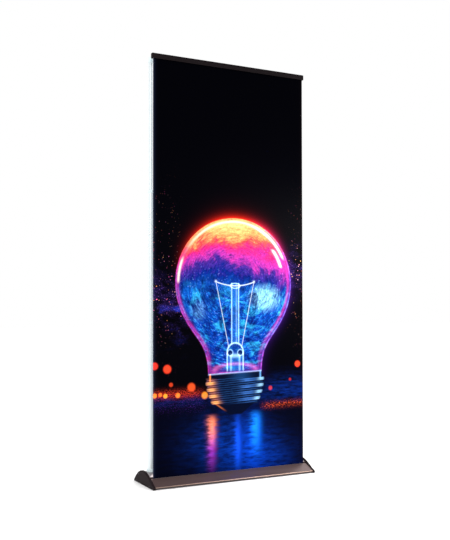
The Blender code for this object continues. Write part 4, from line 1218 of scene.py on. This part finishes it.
def make_heads():
    """Rounded pole head with an arm that hooks into the back of the rail."""
    for side, sign in SIDES.items():
        node = "pole_head_" + side
        low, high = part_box(node)
        centre = (sign * POLE_X, POLE_Y, 0)
        rim = arc((HEAD_RADIUS - HEAD_EDGE, high.z - HEAD_EDGE), HEAD_EDGE, 0, 90, 10)
        profile = [(HEAD_RADIUS - 0.0004, low.z), (HEAD_RADIUS, low.z + 0.0004), *rim, (0, high.z)]
        ceiling = low.z + HEAD_BORE_DEPTH
        profile += [(0, ceiling), (HEAD_BORE, ceiling), (HEAD_BORE, low.z)]
        head = turned(profile, centre, 72)
        arm_high, arm_low = RAIL_BOTTOM + SLOT_HEAD - CLEAR, RAIL_BOTTOM + SLOT_FOOT - CLEAR
        nose_back = RAIL_BACK - RAIL_WALL - CLEAR
        nose_front = nose_back - 0.0028
        arm_back = POLE_Y - 0.0103
        nose_low = RAIL_BOTTOM + 0.0045
        hook = [
            (nose_front, nose_low), (nose_back, nose_low), (nose_back, arm_low),
            (arm_back, arm_low), (arm_back, arm_high), (nose_front, arm_high),
        ]
        arm = extruded(hook, sign * POLE_X - ARM_HALF, sign * POLE_X + ARM_HALF)
        arm = with_modifiers(arm, rounding(0.0007, 3, 30))
        mesh = with_modifiers(head, cut_or_join("UNION", arm))
        finished("head_" + side, mesh, PALE_PLASTIC, side + "_upper", "pale_plastic", node)


def make_head_rings():
    """Thin rings round the top tubes, just under the heads."""
    for side, sign in SIDES.items():
        node = "head_ring_" + side
        low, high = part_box(node)
        outer = radius_of(node)
        inner = outer - FINE_EDGE
        profile = arc((inner, low.z + FINE_EDGE), FINE_EDGE, 270, 360, 5)
        profile += arc((inner, high.z - FINE_EDGE), FINE_EDGE, 0, 90, 5)
        profile += [(HEAD_BORE, high.z), (HEAD_BORE, low.z)]
        mesh = turned(profile, (sign * POLE_X, POLE_Y, 0), 72)
        finished("ring_" + side, mesh, TUBE_METAL, side + "_upper", "pale_tube", node)


# ---- the top rail -------------------------------------------------------------------
def make_rail():
    """Back half with its seat for the hinge and its slot, front jaw, and thin end caps."""
    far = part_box("rail_body")[1]
    low, high, cut = RAIL_BOTTOM, far.z, far.x
    inside = RAIL_BACK - RAIL_WALL
    web = FILM_Y + FILM_THICKNESS / 2 + 1.5 * CLEAR
    seat_radius = HINGE_RADIUS + CLEAR
    seat = arc((HINGE_Y, HINGE_Z), seat_radius, 130, -30, 12)
    outline = [
        (web, low), (RAIL_BACK, low), (RAIL_BACK, low + LOWER_LIP), (inside, low + LOWER_LIP),
        (inside, low + RAIL_WALL), (web + RAIL_WALL, low + RAIL_WALL),
        (web + RAIL_WALL, high - RAIL_WALL), (inside, high - RAIL_WALL),
        (inside, low + SLOT_HEAD), (RAIL_BACK, low + SLOT_HEAD), (RAIL_BACK, high),
        (RAIL_FRONT, high), (RAIL_FRONT, HINGE_Z + seat_radius * 1.05), *seat,
        (web, seat[-1][1] - RAIL_WALL / 2),
    ]
    body = with_modifiers(extruded(outline, -cut, cut), rounding(0.0005, 3, 60))
    finished("rail_back_half", body, RAIL_METAL, "left_upper", "dark_rail", "rail_body")
    make_jaw(cut)
    for side in SIDES:
        node = "rail_cap_" + side
        near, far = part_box(node)
        soft = 0.002
        corners = arc((near.y + soft, near.z + soft), soft, 180, 270, 8)
        corners += arc((far.y - soft, near.z + soft), soft, 270, 360, 8)
        corners += arc((far.y - soft, far.z - soft), soft, 0, 90, 8)
        corners += arc((near.y + soft, far.z - soft), soft, 90, 180, 8)
        cap = with_modifiers(extruded(corners, near.x, far.x), rounding(0.0006, 3))
        finished("rail_end_" + side, cap, CAP_PLASTIC, "left_upper", "cap_plastic", node)


def make_jaw(cut):
    """The hinged front of the rail, with a thumb groove along its face."""
    low = RAIL_BOTTOM + CLEAR
    face = HINGE_Y - HINGE_RADIUS
    tip = FILM_Y - FILM_THICKNESS / 2 - CLEAR
    groove = low + (RAIL_HEIGHT - 2 * RAIL_WALL) * 0.45
    outline = [(face, low), (tip, low), (tip, low + 0.0025), (face + RAIL_WALL, low + 0.0035)]
    outline += arc((HINGE_Y, HINGE_Z), HINGE_RADIUS, -66, 180, 16)
    outline += [
        (face, groove + 0.0014), (face + 0.0006, groove + 0.00105),
        (face + 0.0006, groove + 0.00035), (face, groove),
    ]
    jaw = with_modifiers(extruded(outline, -cut, cut), rounding(FINE_EDGE, 3, 50))
    finished("rail_front_jaw", jaw, RAIL_METAL, "rail_jaw", "dark_rail", "rail_jaw")


# ---- the film -----------------------------------------------------------------------
def film_wave(x, z):
    """How far the hanging film stands off its plane: a millimetre at most."""
    share = (z - SLOT_Z) / FILM_HEIGHT
    held = sin(pi * min(max(share, 0.0), 1.0)) ** 0.7
    edge = (abs(x) / FILM_HALF) ** 8 * 0.0007
    return held * (0.0005 * sin(5.1 * x + 2.3 * share) * sin(4.2 * share + 0.6) + edge)


def strip_of_film(points_of, rows, columns, thickness):
    """Front and back faces of a strip of film, with closed edges and flat coordinates."""
    bm = bmesh.new()
    flat = bm.loops.layers.uv.new("film")
    grids = []
    for side in (-0.5, 0.5):
        grid = []
        for j in range(rows + 1):
            line = []
            for i in range(columns + 1):
                x = -FILM_HALF + 2 * FILM_HALF * i / columns
                line.append(bm.verts.new(points_of(x, j / rows, side * thickness)))
            grid.append(line)
        grids.append(grid)
    front, back = grids

    def quad(corners, shares, index):
        face = bm.faces.new(corners)
        face.material_index = index
        for loop, share in zip(face.loops, shares):
            loop[flat].uv = share

    for j in range(rows):
        for i in range(columns):
            u0, u1, v0, v1 = i / columns, (i + 1) / columns, j / rows, (j + 1) / rows
            corners = ((j, i), (j, i + 1), (j + 1, i + 1), (j + 1, i))
            shares = ((u0, v0), (u1, v0), (u1, v1), (u0, v1))
            quad([front[a][b] for a, b in corners], shares, 0)
            quad([back[a][b] for a, b in corners[::-1]], shares[::-1], 1)
    loop = [(0, i) for i in range(columns)] + [(j, columns) for j in range(rows)]
    loop += [(rows, i) for i in range(columns, 0, -1)] + [(j, 0) for j in range(rows, 0, -1)]
    for (a, b), (c, d) in zip(loop, loop[1:] + loop[:1]):
        corners = [front[a][b], back[a][b], back[c][d], front[c][d]]
        quad(corners, [(0.5, 0.5)] * 4, 1)
    mesh = bpy.data.meshes.new("film")
    bm.to_mesh(mesh)
    bm.free()
    return mesh


def make_film():
    """The hanging film, carried by the base. On the real stand it shortens with the poles, because the
    slot swallows it.
    """
    def hanging(x, share, offset):
        z = SLOT_Z + FILM_HEIGHT * share
        return (x, FILM_Y + offset + film_wave(x, z), z)

    mesh = strip_of_film(hanging, 96, 34, FILM_THICKNESS)
    mesh.materials.append(PRINT)
    mesh.materials.append(FILM_BACK)
    film = finished("printed_banner", mesh, None, "base", "printed_film", "banner_sheet")
    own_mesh(film)


def make_hidden_film():
    """Film between roller and slot, and the turns that stay on the roller."""
    low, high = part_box("banner_leader")

    def leader(x, share, offset):
        return (x, FILM_Y + offset, low.z + (high.z - low.z) * share)

    mesh = strip_of_film(leader, 4, 8, FILM_THICKNESS)
    mesh.materials.append(FILM_BACK)
    mesh.materials.append(FILM_BACK)
    strip = finished("film_leader", mesh, None, "base", "film_back", "banner_leader")
    turns, inner, pitch = 2.0, 0.01285, 0.00055

    def wrapped(x, share, offset):
        angle = 2 * pi * turns * share
        radius = inner + FILM_THICKNESS / 2 + pitch * turns * share + offset
        return (x, ROLLER_Y - radius * cos(angle), ROLLER_Z + radius * sin(angle))

    mesh = strip_of_film(wrapped, 128, 2, FILM_THICKNESS * 0.96)
    mesh.flip_normals()
    mesh.materials.append(FILM_BACK)
    mesh.materials.append(FILM_BACK)
    roll = finished("film_on_roller", mesh, None, "roller", "film_back", "banner_roll")


def finish_hidden_nodes():
    """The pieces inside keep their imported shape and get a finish."""
    finishes = {
        MILL_METAL: ["roller_tube", "roller_bush_left"],
        SPRING_STEEL: ["spring_shaft", "torsion_spring"],
        BLACK_PLASTIC: ["spring_drive_plug", "slot_guide"],
    }
    for pair in ("roller_plug_", "pole_socket_", "middle_guide_", "upper_guide_"):
        finishes[BLACK_PLASTIC] += [pair + side for side in SIDES]
    for material, names in finishes.items():
        for name in names:
            mesh = NODES[name].data
            for i in range(len(mesh.materials)):
                mesh.materials[i] = material


# ---- studio -------------------------------------------------------------------------
def softbox(name, at, towards, size, power, colour=(1.0, 1.0, 1.0)):
    light = bpy.data.lights.new(name, "AREA")
    light.shape = "RECTANGLE"
    light.size, light.size_y = size
    light.energy = power
    light.color = colour
    obj = in_scene(name, light)
    obj.location = at
    obj.rotation_euler = (Vector(towards) - Vector(at)).to_track_quat("-Z", "Y").to_euler()


def studio():
    """Pale floor, white surroundings, five soft lights and the camera."""
    bm = bmesh.new()
    bmesh.ops.create_grid(bm, x_segments=8, y_segments=8, size=30.0)
    mesh = bpy.data.meshes.new("studio_floor")
    bm.to_mesh(mesh)
    bm.free()
    floor = in_scene("studio_floor", mesh)
    material, shader = new_finish("studio_floor", Specular_IOR_Level=0.0, Roughness=0.9)
    dust = noise(own_place(), 2.0, 3.0)
    feed(shader.inputs["Base Color"], mix((0.95, 0.95, 0.95, 1), (0.98, 0.98, 0.98, 1), dust))
    shader.inputs["Emission Color"].default_value = (1, 1, 1, 1)
    shader.inputs["Emission Strength"].default_value = 0.05
    mesh.materials.append(material)
    floor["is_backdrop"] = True

    world = bpy.data.worlds.new("studio")
    bpy.context.scene.world = world
    world.use_nodes = True
    Field.tree = world.node_tree
    back = world.node_tree.nodes["Background"]
    path = world.node_tree.nodes.new("ShaderNodeLightPath")
    back.inputs["Strength"].default_value = 1.0
    gleam = Field(path.outputs["Is Glossy Ray"])
    feed(back.inputs["Color"], mix((1, 1, 1, 1), (0.60, 0.60, 0.62, 1), gleam))
    softbox("key", (-2.6, -4.2, 2.6), (0, 0, 0.9), (2.4, 3.0), 60.0, (1.0, 0.97, 0.94))
    softbox("overhead", (1.6, 1.4, 3.6), (0, 0, 0.3), (2.4, 2.4), 45.0)
    softbox("right", (3.4, -1.6, 1.6), (0, 0, 0.6), (1.6, 2.6), 12.0, (0.97, 0.99, 1.0))
    softbox("base", (0.95, -0.75, 1.25), (0.25, -0.09, 0.03), (0.6, 0.6), 18.0, (1.0, 0.96, 0.93))
    softbox("back", (-2.4, 2.8, 1.6), (0, 0, 1.0), (1.8, 2.8), 24.0, (0.95, 0.99, 1.0))

    camera = in_scene("camera", bpy.data.cameras.new("camera"))
    camera.location = (-1.867, -3.570, 0.857)
    camera.rotation_euler = (radians(91.137), radians(0.066), radians(-26.185))
    camera.data.lens = 52.68
    camera.data.shift_x = 0.0344
    camera.data.shift_y = 0.0408
    bpy.context.scene.camera = camera
    bpy.context.scene.view_settings.view_transform = "Standard"


make_shell()
make_floor()
make_ramp()
make_caps()
make_screws()
make_collars()
make_feet()
make_brush()
make_poles()
make_heads()
make_head_rings()
make_rail()
make_film()
make_hidden_film()
finish_hidden_nodes()
studio()

box_of = [[list(corner) for corner in box] for box in (FRAME_BOX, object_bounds())]
